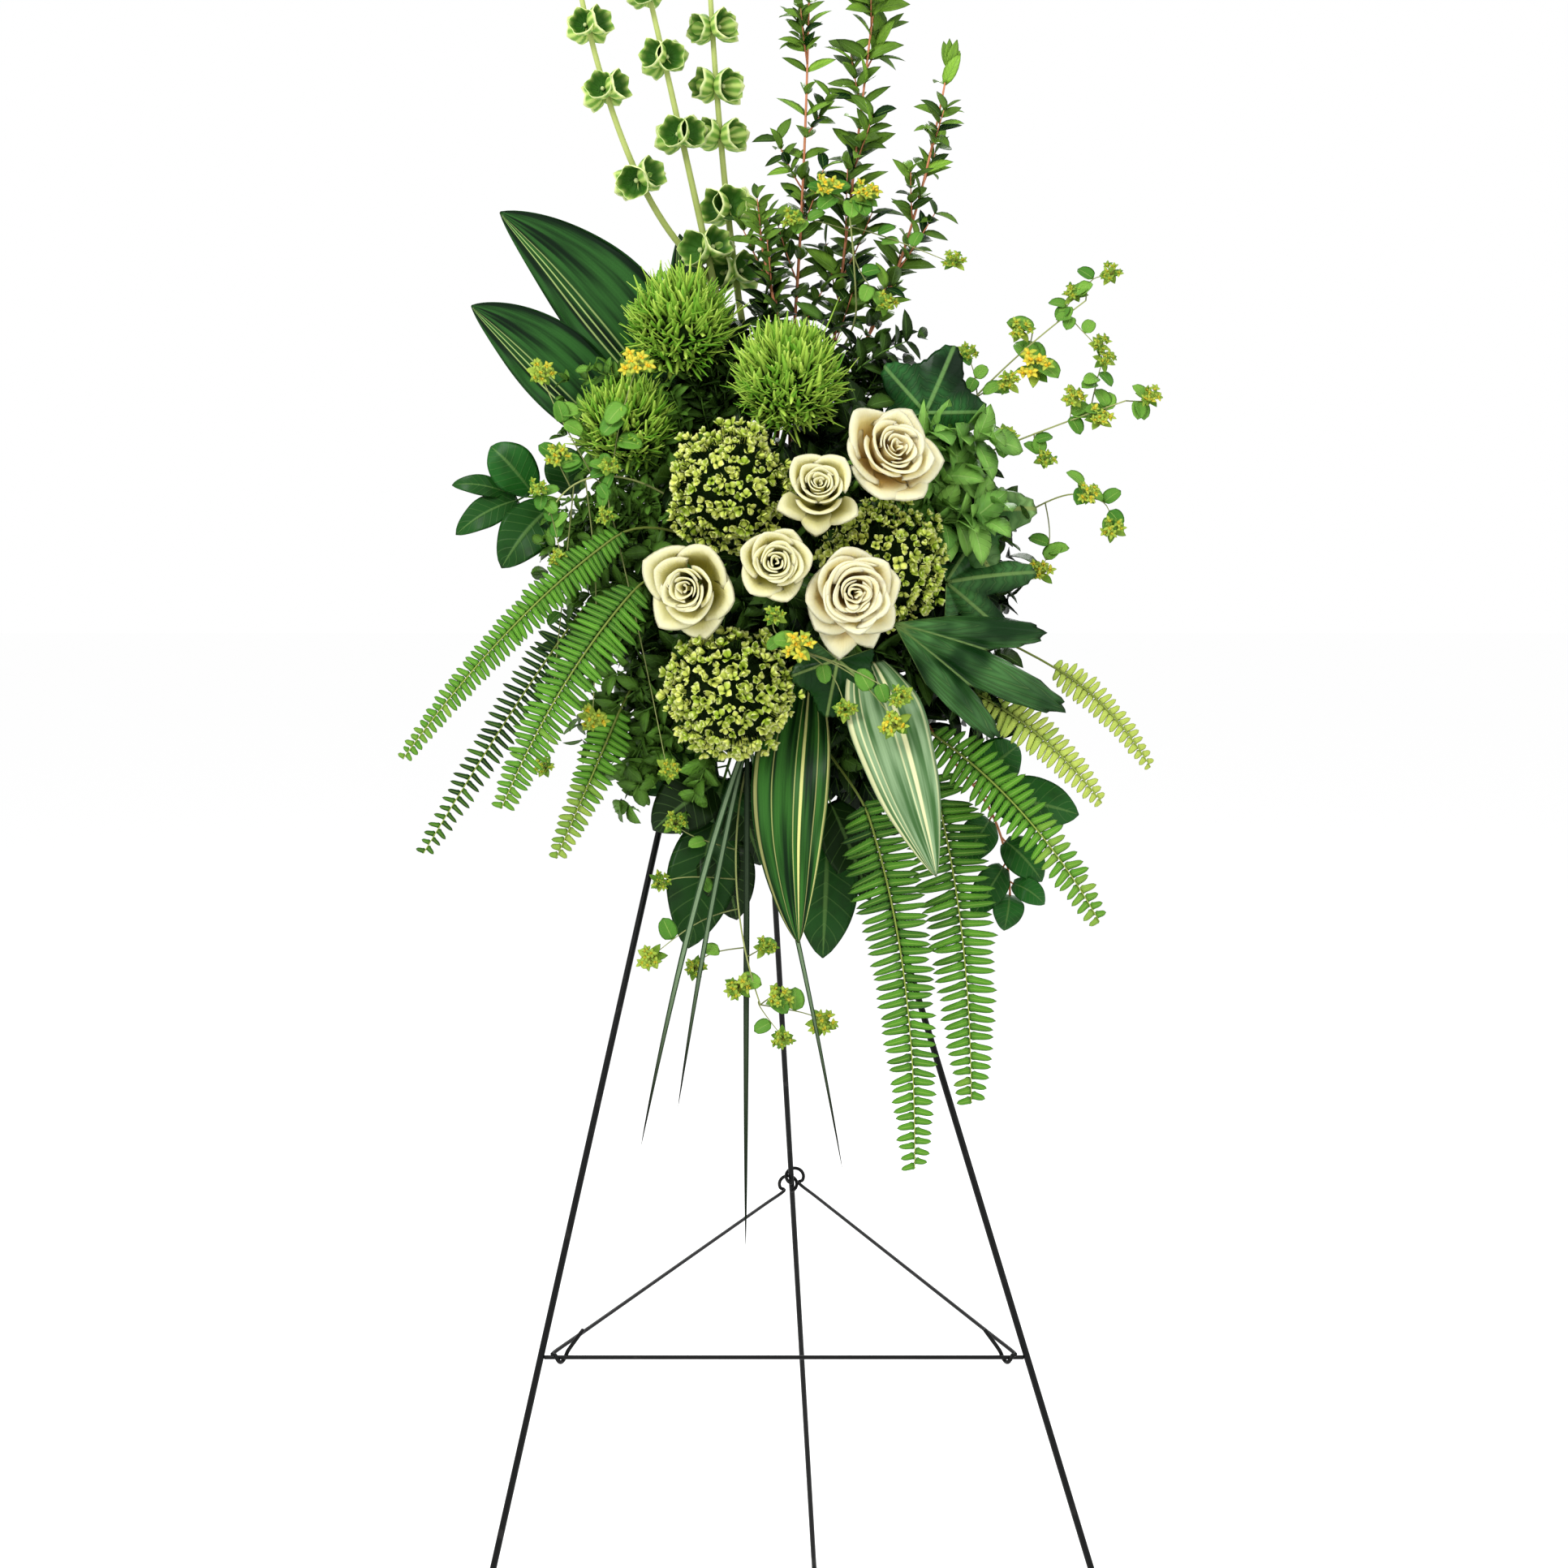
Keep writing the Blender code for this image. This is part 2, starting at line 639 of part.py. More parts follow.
# Green dianthus: tufts of needles that stand up from a round cushion
DIANTHUS_HEADS = {
    "dianthus_left": ((-0.114, -0.185, 1.470), (-0.2, -0.6, 0.8), 0.050),
    "dianthus_middle": ((-0.014, -0.232, 1.418), (0.0, -0.7, 0.7), 0.050),
    "dianthus_back": ((-0.163, -0.200, 1.379), (-0.5, -0.7, 0.4), 0.044),
}
NEEDLES = 29


def dianthus(name, centre, direction, radius):
    centre, facing = Vector(centre), Vector(direction).normalized()
    pieces = [stem_to(centre - facing * radius * 0.5, facing, 0.0028),
              ball(centre, radius * 0.62, radius * 0.62, facing, 4, 6)]
    needles = []
    for index, spot in enumerate(sphere_spots(NEEDLES, math.radians(125))):
        outward = rotated(spot, facing)
        lean = (outward + Vector((0, 0, 0.25))).normalized()
        needles.append(cone(centre + outward * radius * 0.42, centre + lean * radius * 1.05,
                            radius * 0.16, 0.0, 3, index))
    return place(name, pieces + keep_clear(needles, 0), DIANTHUS)


for head_name, (centre, direction, radius) in DIANTHUS_HEADS.items():
    dianthus(head_name, centre, direction, radius)


# Aspidistra: long striped blades, three standing behind the blooms and two hanging in front
BLADES = {
    "aspidistra_high": ((-0.128, -0.125, 1.425), (-0.195, -0.122, 1.515), (-0.285, -0.140, 1.583),
                        (0.15, -1.0, -0.1), 0.072, 7),
    "aspidistra_low": ((-0.172, -0.148, 1.392), (-0.240, -0.148, 1.458), (-0.308, -0.170, 1.494),
                       (0.15, -1.0, -0.1), 0.062, 7),
    "aspidistra_behind": ((-0.095, -0.120, 1.445), (-0.108, -0.105, 1.510), (-0.118, -0.100, 1.572),
                          (0.0, -1.0, 0.0), 0.040, 6),
    "aspidistra_hanging": ((0.012, -0.215, 1.110), (-0.004, -0.296, 1.032), (-0.001, -0.310, 0.920),
                           (0.0, -1.0, 0.25), 0.068, 8),
    "aspidistra_front": ((0.058, -0.268, 1.168), (0.080, -0.322, 1.092), (0.116, -0.330, 0.983),
                         (0.1, -1.0, 0.3), 0.070, 8),
}


def blade_profile(t):
    """Half-width share of a lance-shaped blade: narrow at the foot, widest past the middle, then a point."""
    return max(math.sin(math.pi * min(1, 0.06 + 0.94 * t) ** 0.85) ** 0.75, 0.03)


def blade(start, middle, end, facing, width, steps, cup=0.12, profile=blade_profile, columns=2):
    """A leaf along the parabola, folded a little along its midrib."""
    bm = bmesh.new()
    bmesh.ops.create_grid(bm, x_segments=columns, y_segments=steps, size=1.0)
    for vert in bm.verts:
        side, t = vert.co.x, (vert.co.y + 1) / 2
        point, direction = through(start, middle, end, t)
        _, across, outward = frame_at(direction, facing)
        half = width / 2 * profile(t)
        vert.co = point + across * side * half + outward * cup * half * abs(side)
    return thickened(bm, LEAF_THICKNESS)


def aspidistra(name, start, middle, end, facing, width, steps):
    foot, direction = through(start, middle, end, 0.06)
    stem = stem_to(foot, direction, 0.0022)
    return place(name, [stem, blade(start, middle, end, facing, width, steps)], ASPIDISTRA)


for blade_name, values in BLADES.items():
    aspidistra(blade_name, *values)


# Fatsia and ivy: lobed leaves at the right
LOBED = {
    "fatsia_top": ((0.112, -0.205, 1.395), (0.35, -0.1, 0.8), (0.1, -1.0, 0.1), 0.062, 5, 0.72, 132),
    "fatsia_side": ((0.148, -0.158, 1.308), (1.0, -0.05, 0.0), (0.1, -1.0, 0.3), 0.075, 5, 0.62, 125),
    "fatsia_dark": ((0.152, -0.192, 1.236), (1.0, -0.1, 0.10), (0.1, -1.0, 0.5), 0.062, 5, 0.55, 120),
    "fatsia_large": ((0.098, -0.262, 1.196), (0.85, -0.10, -0.50), (0.0, -1.0, 0.35), 0.135, 6, 0.40, 78),
    "ivy_lower": ((0.030, -0.240, 1.168), (-0.2, -0.3, -1.0), (0.0, -1.0, 0.3), 0.044, 5, 0.72, 120),
}


def lobed_leaf(junction, ahead, facing, reach, lobes, notch, spread):
    """A fan round the end of the leaf stalk, whose reach rises once for each lobe and falls between."""
    forward, across, outward = frame_at(ahead, facing)
    spread = math.radians(spread)
    bm = bmesh.new()
    bmesh.ops.create_circle(bm, cap_ends=True, cap_tris=True, segments=4 * lobes, radius=1.0)
    for vert in bm.verts:
        if vert.co.length < 0.5:
            vert.co = Vector(junction)
            continue
        angle = math.atan2(vert.co.y, vert.co.x)
        swing = angle / math.pi * spread
        wave = 0.5 + 0.5 * math.cos(angle / math.pi * (lobes - 1) * math.pi)
        share = (notch + (1 - notch) * wave ** 0.8) * (1 - 0.42 * (abs(angle) / math.pi) ** 1.5)
        if abs(angle) > 3.1:
            share = 0.12
        out = reach * share
        vert.co = (Vector(junction) + forward * out * math.cos(swing) + across * out * math.sin(swing)
                   - outward * 0.18 * reach * share ** 2)
    return thickened(bm, LEAF_THICKNESS)


def lobed(name, junction, ahead, facing, *shape):
    foot = Vector(junction) + Vector(ahead).normalized() * shape[0] * 0.16
    stem = stem_to(foot, Vector(ahead) * 0.4 + Vector((0.0, -0.8, 0.0)), 0.0020)
    return place(name, [stem, lobed_leaf(junction, ahead, facing, *shape)], FATSIA)


for leaf_name, values in LOBED.items():
    lobed(leaf_name, *values)


# Sword ferns: one thin arched blade for each frond, cut to the rib into leaflets
FRONDS = {
    "fern_left_upper": ((-0.165, -0.250, 1.285), (-0.262, -0.272, 1.200), (-0.362, -0.270, 1.082), 0.046),
    "fern_left_dark": ((-0.205, -0.205, 1.215), (-0.272, -0.215, 1.118), (-0.351, -0.235, 0.991), 0.048),
    "fern_left_bright": ((-0.150, -0.285, 1.235), (-0.212, -0.312, 1.150), (-0.268, -0.312, 1.042), 0.062),
    "fern_left_lower": ((-0.170, -0.235, 1.120), (-0.195, -0.255, 1.060), (-0.225, -0.262, 0.991), 0.046),
    "fern_right_upper": ((0.165, -0.215, 1.135), (0.222, -0.232, 1.095), (0.274, -0.240, 1.039), 0.044),
    "fern_right_middle": ((0.120, -0.225, 1.100), (0.200, -0.262, 1.030), (0.269, -0.270, 0.933), 0.056),
    "fern_right_high": ((0.236, -0.185, 1.160), (0.284, -0.192, 1.122), (0.325, -0.200, 1.068), 0.034),
    "fern_front_long": ((0.055, -0.262, 1.040), (0.078, -0.285, 0.890), (0.101, -0.290, 0.709), 0.066),
    "fern_front_short": ((0.119, -0.225, 1.060), (0.138, -0.240, 0.920), (0.154, -0.245, 0.759), 0.066),
}
LEAFLET_PITCH = 0.0146
RIB_WIDTH = 0.0022
FERN_THICKNESS = 0.0009


def frond(start, middle, end, width):
    """A rib with a pointed leaflet on each side of each step, shorter towards both ends."""
    length = sum((through(start, middle, end, (k + 1) / 8)[0] - through(start, middle, end, k / 8)[0]).length
                 for k in range(8))
    pairs = round(length / LEAFLET_PITCH)
    bm = bmesh.new()
    left, right = [], []
    for step in range(pairs + 1):
        point, direction = through(start, middle, end, step / pairs)
        along, across, outward = frame_at(direction, (0, -1, 0.35))
        half = RIB_WIDTH / 2 * (1 - 0.6 * step / pairs)
        left.append(bm.verts.new(point - across * half))
        right.append(bm.verts.new(point + across * half))
    for step in range(pairs):
        t = (step + 0.5) / pairs
        point, direction = through(start, middle, end, t)
        along, across, outward = frame_at(direction, (0, -1, 0.35))
        reach = width / 2 * min(1, 0.35 + 3.2 * t) * max(1.05 - t, 0.06) ** 0.55
        bm.faces.new((left[step], right[step], right[step + 1], left[step + 1]))
        for side, edge in ((-1, left), (1, right)):
            tip = bm.verts.new(point + across * side * reach + along * reach * 0.28 - outward * reach * 0.22)
            bm.faces.new((edge[step], edge[step + 1], tip))
    return thickened(bm, FERN_THICKNESS)


def fern(name, start, middle, end, width):
    foot, direction = through(start, middle, end, 0.03)
    stem = stem_to(foot, direction, 0.0014)
    return place(name, [stem, frond(start, middle, end, width)], FERN)


for frond_name, values in FRONDS.items():
    fern(frond_name, *values)


# Lily grass: four narrow blades in one bunch
GRASS_TIPS = (
    ((-0.150, -0.262, 0.722), 0.008),
    ((-0.116, -0.255, 0.757), 0.007),
    ((0.036, -0.262, 0.700), 0.006),
    ((-0.054, -0.240, 0.619), 0.007),
)
GRASS_ROOT = Vector((-0.052, -0.222, 1.095))


def grass_profile(t):
    return max(math.sin(math.pi * (0.25 + 0.75 * t)) ** 0.6, 0.12)


def grass():
    stem = stem_to(GRASS_ROOT, (0, -0.5, -1), 0.0035)
    pieces = [stem, ball(GRASS_ROOT, 0.005, 0.008, (0, 0, 1), 4, 6)]
    for tip, width in GRASS_TIPS:
        middle = GRASS_ROOT.lerp(Vector(tip), 0.5) + Vector((0, -0.006, 0.03 * abs(tip[0] + 0.05) / 0.1))
        pieces.append(blade(GRASS_ROOT, middle, tip, (0, -1, 0.1), width, 5, cup=0.0, columns=1,
                            profile=grass_profile))
    return place("lily_grass", pieces, GRASS)


grass()


# Bells of Ireland: pale stems with whorls of cups
BELL_STEMS = {
    "bells_left": ((-0.105, -0.130, 1.545), (-0.175, -0.148, 1.668), (-0.225, -0.150, 1.885),
                   (0.14, 0.40, 0.60, 0.79, 0.95)),
    "bells_middle": ((-0.084, -0.132, 1.520), (-0.122, -0.136, 1.690), (-0.160, -0.140, 1.855),
                     (0.05, 0.42, 0.62, 0.79, 0.94)),
    "bells_right": ((-0.060, -0.110, 1.500), (-0.080, -0.106, 1.680), (-0.092, -0.110, 1.890),
                    (0.10, 0.31, 0.53, 0.75, 0.95)),
}
BELL_SIZE = 0.0140


def bell_cup(root, direction, size, turn):
    """A flared cup with a dished mouth."""
    cup = cone(root, Vector(root) + Vector(direction).normalized() * size * 1.35, size * 0.22, size, 5, turn)
    bm = bmesh.new()
    bm.from_mesh(cup.data)
    bpy.data.objects.remove(cup)
    mouth = max((face for face in bm.faces if len(face.verts) == 5),
                key=lambda face: face.calc_area())
    middle = bmesh.ops.poke(bm, faces=[mouth])["verts"][0]
    middle.co -= Vector(direction).normalized() * size * 0.7
    return from_bmesh(bm)


def bells(name, start, middle, end, whorls):
    start_direction = through(start, middle, end, 0)[1]
    route = stem_route(start, start_direction, 0.0036)
    route += [through(start, middle, end, step / 4)[0] for step in range(1, 5)]
    pieces = [tube(route, 0.0036, 0.6)]
    cups = []
    for order, t in enumerate(whorls):
        point, direction = through(start, middle, end, t)
        size = BELL_SIZE * (1.05 - 0.3 * t)
        forward, side, top = axes_of(direction)
        for third in range(3):
            angle = order * 1.05 + third * 2 * math.pi / 3
            outward = side * math.cos(angle) + top * math.sin(angle) + forward * 0.35
            cups.append(bell_cup(point, outward * 1.0, size, angle))
    return place(name, pieces + keep_clear(cups, 0), BELL)


for stem_name, values in BELL_STEMS.items():
    bells(stem_name, *values)


# Myrtle: upright reddish stems with pairs of small pointed leaves
MYRTLE_STEMS = {
    "myrtle_left": ((-0.008, -0.118, 1.485), (0.001, -0.122, 1.640), (0.006, -0.125, 1.815), 15, 0.028),
    "myrtle_middle": ((0.030, -0.110, 1.470), (0.050, -0.104, 1.640), (0.074, -0.105, 1.840), 16, 0.029),
    "myrtle_right": ((0.066, -0.120, 1.480), (0.104, -0.128, 1.580), (0.136, -0.132, 1.722), 11, 0.027),
    "myrtle_bushy": ((-0.022, -0.160, 1.480), (-0.034, -0.158, 1.530), (-0.042, -0.160, 1.572), 7, 0.026),
}


def small_leaf(root, direction, facing, length, width, thickness=0.0016, corners=4):
    """A pointed leaf: a flat bipyramid that is widest before its middle."""
    forward, across, outward = frame_at(direction, facing)
    bm = bmesh.new()
    bmesh.ops.create_uvsphere(bm, u_segments=corners, v_segments=2, radius=1.0)
    for vert in bm.verts:
        x, y, z = vert.co
        shift = length * (0.5 + 0.5 * x) - (0.08 * length if abs(x) < 0.7 else 0)
        vert.co = Vector(root) + forward * shift + across * y * width / 2 + outward * z * thickness / 2
    bmesh.ops.recalc_face_normals(bm, faces=bm.faces)
    return from_bmesh(bm)


def leafy_stem(name, start, middle, end, count, leaf_length):
    draw = random.Random(name)
    start_direction = through(start, middle, end, 0)[1]
    route = stem_route(start, start_direction, 0.0017)
    route += [through(start, middle, end, step / 4)[0] for step in range(1, 5)]
    pieces, leaves = [tube(route, 0.0017, 0.6)], []
    for index in range(count):
        t = (index + 0.5) / count
        point, direction = through(start, middle, end, t)
        forward, side, top = axes_of(direction)
        angle = index * 2.4 + draw.uniform(-0.3, 0.3)
        outward = side * math.cos(angle) + top * math.sin(angle) + forward * draw.uniform(0.5, 1.0)
        length = leaf_length * draw.uniform(0.85, 1.15) * (1 - 0.25 * t)
        leaves.append(small_leaf(point, outward, forward, length, length * 0.42))
    tip, direction = through(start, middle, end, 1.0)
    leaves.append(small_leaf(tip - direction.normalized() * 0.003, direction, (0, -1, 0), leaf_length, 0.008))
    return place(name, pieces + keep_clear(leaves, 0), MYRTLE)


for stem_name, values in MYRTLE_STEMS.items():
    leafy_stem(stem_name, *values)


# Salal: woody sprigs with broad pointed leaves. Each leaf is its place along the sprig, its tip and its width
SPRIGS = {
    "salal_left": ((-0.190, -0.155, 1.318), (-0.235, -0.160, 1.318), (-0.272, -0.165, 1.322), (
        (0.95, (-0.328, -0.180, 1.330), 0.020), (0.70, (-0.292, -0.175, 1.366), 0.044),
        (0.85, (-0.325, -0.180, 1.284), 0.030), (0.45, (-0.282, -0.185, 1.253), 0.050),
        (0.30, (-0.225, -0.180, 1.365), 0.040))),
    "salal_lower_left": ((-0.070, -0.195, 1.070), (-0.078, -0.200, 1.040), (-0.082, -0.203, 1.010), (
        (0.20, (-0.140, -0.215, 1.010), 0.052), (0.60, (-0.108, -0.212, 0.898), 0.062),
        (0.95, (-0.062, -0.212, 0.925), 0.054))),
    "salal_lower_right": ((0.020, -0.200, 1.060), (0.022, -0.205, 1.035), (0.024, -0.210, 1.010), (
        (0.30, (0.062, -0.222, 0.945), 0.048), (0.90, (0.018, -0.230, 0.892), 0.060))),
    "salal_right": ((0.160, -0.175, 1.050), (0.186, -0.180, 1.005), (0.196, -0.190, 0.945), (
        (0.15, (0.270, -0.175, 1.020), 0.042), (0.35, (0.150, -0.190, 0.975), 0.036),
        (0.55, (0.226, -0.190, 0.958), 0.036), (0.75, (0.160, -0.195, 0.925), 0.032),
        (0.90, (0.228, -0.195, 0.937), 0.024), (0.97, (0.190, -0.195, 0.912), 0.030))),
}


SMALL_LEAF = 0.037


def leaf_profile(t):
    return max(math.sin(math.pi * (0.05 + 0.95 * t) ** 0.9) ** 0.7, 0.05)


def sprig(name, start, middle, end, leaves):
    start_direction = through(start, middle, end, 0)[1]
    route = stem_route(start, start_direction, 0.0018)
    route += [through(start, middle, end, step / 4)[0] for step in range(1, 5)]
    pieces, broad = [tube(route, 0.0018, 0.7)], []
    for t, tip, width in leaves:
        root = through(start, middle, end, t)[0]
        bend = root.lerp(Vector(tip), 0.5) + Vector((0, -0.006, 0.004))
        if width < SMALL_LEAF:
            broad.append(small_leaf(root, Vector(tip) - root, (0, -1, 0.2), (Vector(tip) - root).length,
                                    width, corners=6))
        else:
            broad.append(blade(root, bend, tip, (0, -1, 0.2), width, 3, cup=0.15, profile=leaf_profile))
    return place(name, pieces + keep_clear(broad, 0), SALAL)


for sprig_name, values in SPRIGS.items():
    sprig(sprig_name, *values)


# Bupleurum: wiry branched stems with star flowers and small round leaves.
# Each flower is its place along the stem, its own spot and its size


def star(centre, facing, size, turn):
    """A five-pointed star flower: a flat bipyramid whose rim goes in and out."""
    forward, side, top = axes_of(facing)
    bm = bmesh.new()
    bmesh.ops.create_uvsphere(bm, u_segments=10, v_segments=2, radius=1.0)
    for vert in bm.verts:
        x, y, z = vert.co
        if abs(z) > 0.5:
            vert.co = Vector(centre) + forward * z * size * 0.30
            continue
        angle = math.atan2(y, x)
        reach = size * (0.70 + 0.30 * math.cos(5 * angle))
        vert.co = (Vector(centre) + side * reach * math.cos(angle + turn)
                   + top * reach * math.sin(angle + turn) + forward * size * 0.12 * math.cos(5 * angle))
    bmesh.ops.recalc_face_normals(bm, faces=bm.faces)
    return from_bmesh(bm)


FLOWER_SPRAYS = {
    "bupleurum_right_upper": ((0.150, -0.150, 1.400), (0.200, -0.165, 1.450), (0.262, -0.175, 1.500), (
        (0.15, (0.155, -0.150, 1.455), 0.012), (0.10, (0.190, -0.190, 1.425), 0.014),
        (0.55, (0.215, -0.175, 1.440), 0.021),
        (0.60, (0.203, -0.165, 1.475), 0.014), (0.80, (0.252, -0.170, 1.508), 0.013),
        (1.00, (0.285, -0.175, 1.525), 0.013), (0.90, (0.275, -0.180, 1.460), 0.012))),
    "bupleurum_right_middle": ((0.175, -0.150, 1.362), (0.235, -0.170, 1.385), (0.300, -0.178, 1.408), (
        (0.15, (0.188, -0.185, 1.375), 0.014), (0.35, (0.225, -0.180, 1.355), 0.013),
        (0.60, (0.252, -0.175, 1.412), 0.014), (0.75, (0.280, -0.180, 1.447), 0.013),
        (0.85, (0.276, -0.182, 1.392), 0.015), 
        (1.00, (0.322, -0.182, 1.412), 0.014))),
    "bupleurum_right_lower": ((0.205, -0.125, 1.300), (0.242, -0.165, 1.320), (0.262, -0.180, 1.318), (
        (0.30, (0.222, -0.180, 1.250), 0.015), (0.80, (0.264, -0.190, 1.322), 0.015),
        (1.00, (0.288, -0.190, 1.290), 0.014))),
    "bupleurum_top": ((0.050, -0.150, 1.500), (0.045, -0.165, 1.560), (0.040, -0.172, 1.590), (
        (0.35, (0.078, -0.165, 1.500), 0.014), (0.55, (-0.010, -0.172, 1.575), 0.013),
        (0.60, (0.140, -0.168, 1.538), 0.013), (0.90, (0.058, -0.175, 1.598), 0.017),
        (1.00, (0.022, -0.175, 1.602), 0.017))),
    "bupleurum_left": ((-0.165, -0.235, 1.335), (-0.205, -0.240, 1.330), (-0.232, -0.238, 1.300), (
        (0.10, (-0.150, -0.250, 1.436), 0.018),
        (0.30, (-0.238, -0.225, 1.430), 0.015),
        (0.10, (-0.175, -0.250, 1.345), 0.012), (0.30, (-0.178, -0.255, 1.300), 0.012),
        (0.60, (-0.222, -0.240, 1.355), 0.015), (1.00, (-0.240, -0.240, 1.325), 0.012),
        (0.95, (-0.222, -0.245, 1.262), 0.013))),
    "bupleurum_centre": ((-0.004, -0.280, 1.188), (-0.004, -0.305, 1.182), (-0.004, -0.322, 1.182), (
        (0.60, (-0.026, -0.325, 1.212), 0.012), (1.00, (-0.005, -0.335, 1.186), 0.018))),
    "bupleurum_bottom": ((-0.060, -0.225, 1.030), (-0.060, -0.240, 0.940), (-0.040, -0.240, 0.850), (
        (0.20, (-0.118, -0.235, 1.020), 0.013), (0.35, (-0.132, -0.235, 0.965), 0.012),
        (0.50, (-0.142, -0.240, 0.895), 0.016), (0.70, (-0.100, -0.240, 0.885), 0.013),
        (0.75, (-0.035, -0.245, 0.905), 0.013), (0.85, (-0.060, -0.245, 0.868), 0.016),
        (1.00, (-0.022, -0.245, 0.858), 0.016),
        (1.00, (0.018, -0.245, 0.835), 0.016), (0.98, (-0.020, -0.245, 0.820), 0.013))),
}


def twig(start, end, radius=0.0009):
    return cone(start, end, radius, radius * 0.8, 3)


def flower_spray(name, start, middle, end, flowers):
    draw = random.Random(name)
    start_direction = through(start, middle, end, 0)[1]
    route = stem_route(start, start_direction, 0.0012)
    route += [through(start, middle, end, step / 3)[0] for step in range(1, 4)]
    pieces = [tube(route, 0.0012, 0.75)]
    for order, (t, spot, size) in enumerate(flowers):
        root = through(start, middle, end, t)[0]
        spot = Vector(spot)
        facing = Vector((draw.uniform(-0.4, 0.4), -1, draw.uniform(0.0, 0.7)))
        branch = twig(root, spot)
        bloom = star(spot, facing, size, draw.uniform(0, 1.2))
        if is_clear(bloom) and is_clear(branch):
            pieces += [branch, bloom]
            if order % 3:
                continue
            half_way = root.lerp(spot, 0.55)
            aside = frame_at(spot - root, (0, -1, 0.2))[1] * draw.choice((-1, 1))
            leaf = small_leaf(half_way, aside + Vector((0, 0, 0.4)), (0, -1, 0.3), 0.013, 0.012)
            pieces += keep_clear([leaf], 0)
        else:
            bpy.data.objects.remove(branch)
            bpy.data.objects.remove(bloom)
    return place(name, pieces, BUPLEURUM)


for spray_name, values in FLOWER_SPRAYS.items():
    flower_spray(spray_name, *values)


# The foam block itself, with a plain blind hole for each stem
def foam():
    wide, high, deep = FOAM_WIDTH / 2, FOAM_HEIGHT / 2, FOAM_DEPTH / 2
    body = block((-wide, wide), (-high, high), (-deep, deep))
    arrangement.objects.link(body)
    drills = bpy.data.collections.new("drills")
    bpy.context.scene.collection.children.link(drills)
    for mouth, outward, radius in holes:
        drill = cone(mouth - outward * HOLE_DEPTH, mouth + outward * 0.002,
                     (radius + GAP) * 1.42, (radius + GAP) * 1.42, 4)
        drills.objects.link(drill)
    cut = body.modifiers.new("holes", "BOOLEAN")
    cut.operation = "DIFFERENCE"
    cut.operand_type = "COLLECTION"
    cut.collection = drills
    bm = bmesh.new()
    bm.from_mesh(evaluated_mesh(body))
    for thing in [body, *drills.objects]:
        bpy.data.objects.remove(thing)
    bpy.data.collections.remove(drills)
    return place("foam_block", [from_bmesh(bm)], FOAM)


foam()
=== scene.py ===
"""Looks of the standing funeral arrangement: cream roses and green foliage on a wire easel.

Metres, +Z up, the viewer looks along +Y. Plant pieces are numpy surfaces set where the CAD nodes stand.
"""
import math

import bpy
import numpy as np
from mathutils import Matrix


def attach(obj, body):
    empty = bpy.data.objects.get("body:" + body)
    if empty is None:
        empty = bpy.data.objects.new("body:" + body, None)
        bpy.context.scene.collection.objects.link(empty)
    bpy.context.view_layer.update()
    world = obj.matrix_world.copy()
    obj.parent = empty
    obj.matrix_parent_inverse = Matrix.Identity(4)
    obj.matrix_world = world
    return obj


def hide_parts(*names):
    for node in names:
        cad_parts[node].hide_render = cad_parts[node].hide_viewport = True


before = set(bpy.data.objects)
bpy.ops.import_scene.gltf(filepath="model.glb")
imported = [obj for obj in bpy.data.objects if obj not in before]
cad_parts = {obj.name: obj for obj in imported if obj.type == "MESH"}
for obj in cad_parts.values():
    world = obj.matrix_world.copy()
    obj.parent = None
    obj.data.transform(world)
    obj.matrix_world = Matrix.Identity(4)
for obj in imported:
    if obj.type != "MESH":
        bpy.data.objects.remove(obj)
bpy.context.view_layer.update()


# The viewer stands about two metres in front of the easel, at the height of the blooms, and looks down a
# little. The view cuts off the easel's feet and the tips of the tallest stems.
camera = bpy.data.objects.new("camera", bpy.data.cameras.new("camera"))
camera.data.lens, camera.data.sensor_width = 50, 36
camera.location = (-0.018, -2.23, 1.253)
camera.rotation_euler = (math.radians(84.34), 0, 0)
bpy.context.scene.collection.objects.link(camera)
bpy.context.scene.camera = camera


# A white studio floor that runs back to a white surround, with large soft lamps: the key lamp stands
# high on the left, a weaker one on the right, and one behind lifts the edges of the leaves.
FLOOR_CORNERS = ((-40, -40, 0), (40, -40, 0), (40, 40, 0), (-40, 40, 0))
LIT_POINT = np.array((0, -0.15, 1.1))
bpy.context.scene.view_settings.view_transform = "Standard"
floor_mesh = bpy.data.meshes.new("studio_floor")
floor_mesh.from_pydata(FLOOR_CORNERS, [], [(0, 1, 2, 3)])
studio_floor = bpy.data.objects.new("studio_floor", floor_mesh)
bpy.context.scene.collection.objects.link(studio_floor)

surround = bpy.data.worlds.new("white_surround")
surround.use_nodes = True
surround.node_tree.nodes["Background"].inputs["Color"].default_value = (1.0, 1.0, 1.0, 1.0)
surround.node_tree.nodes["Background"].inputs["Strength"].default_value = 1.0
bpy.context.scene.world = surround

for lamp_name, place, size, power in (
    ("key_lamp", (-1.5, -2.2, 3.0), 1.2, 62),
    ("fill_lamp", (1.9, -2.0, 1.9), 1.6, 12),
    ("edge_lamp", (0.4, 2.2, 2.9), 1.4, 40),
):
    lamp = bpy.data.objects.new(lamp_name, bpy.data.lights.new(lamp_name, "AREA"))
    lamp.data.size, lamp.data.energy = size, power
    lamp.location = place
    aim = LIT_POINT - place
    lamp.rotation_euler = (math.acos(-aim[2] / np.linalg.norm(aim)), 0,
                           math.atan2(aim[1], aim[0]) - math.pi / 2)
    bpy.context.scene.collection.objects.link(lamp)


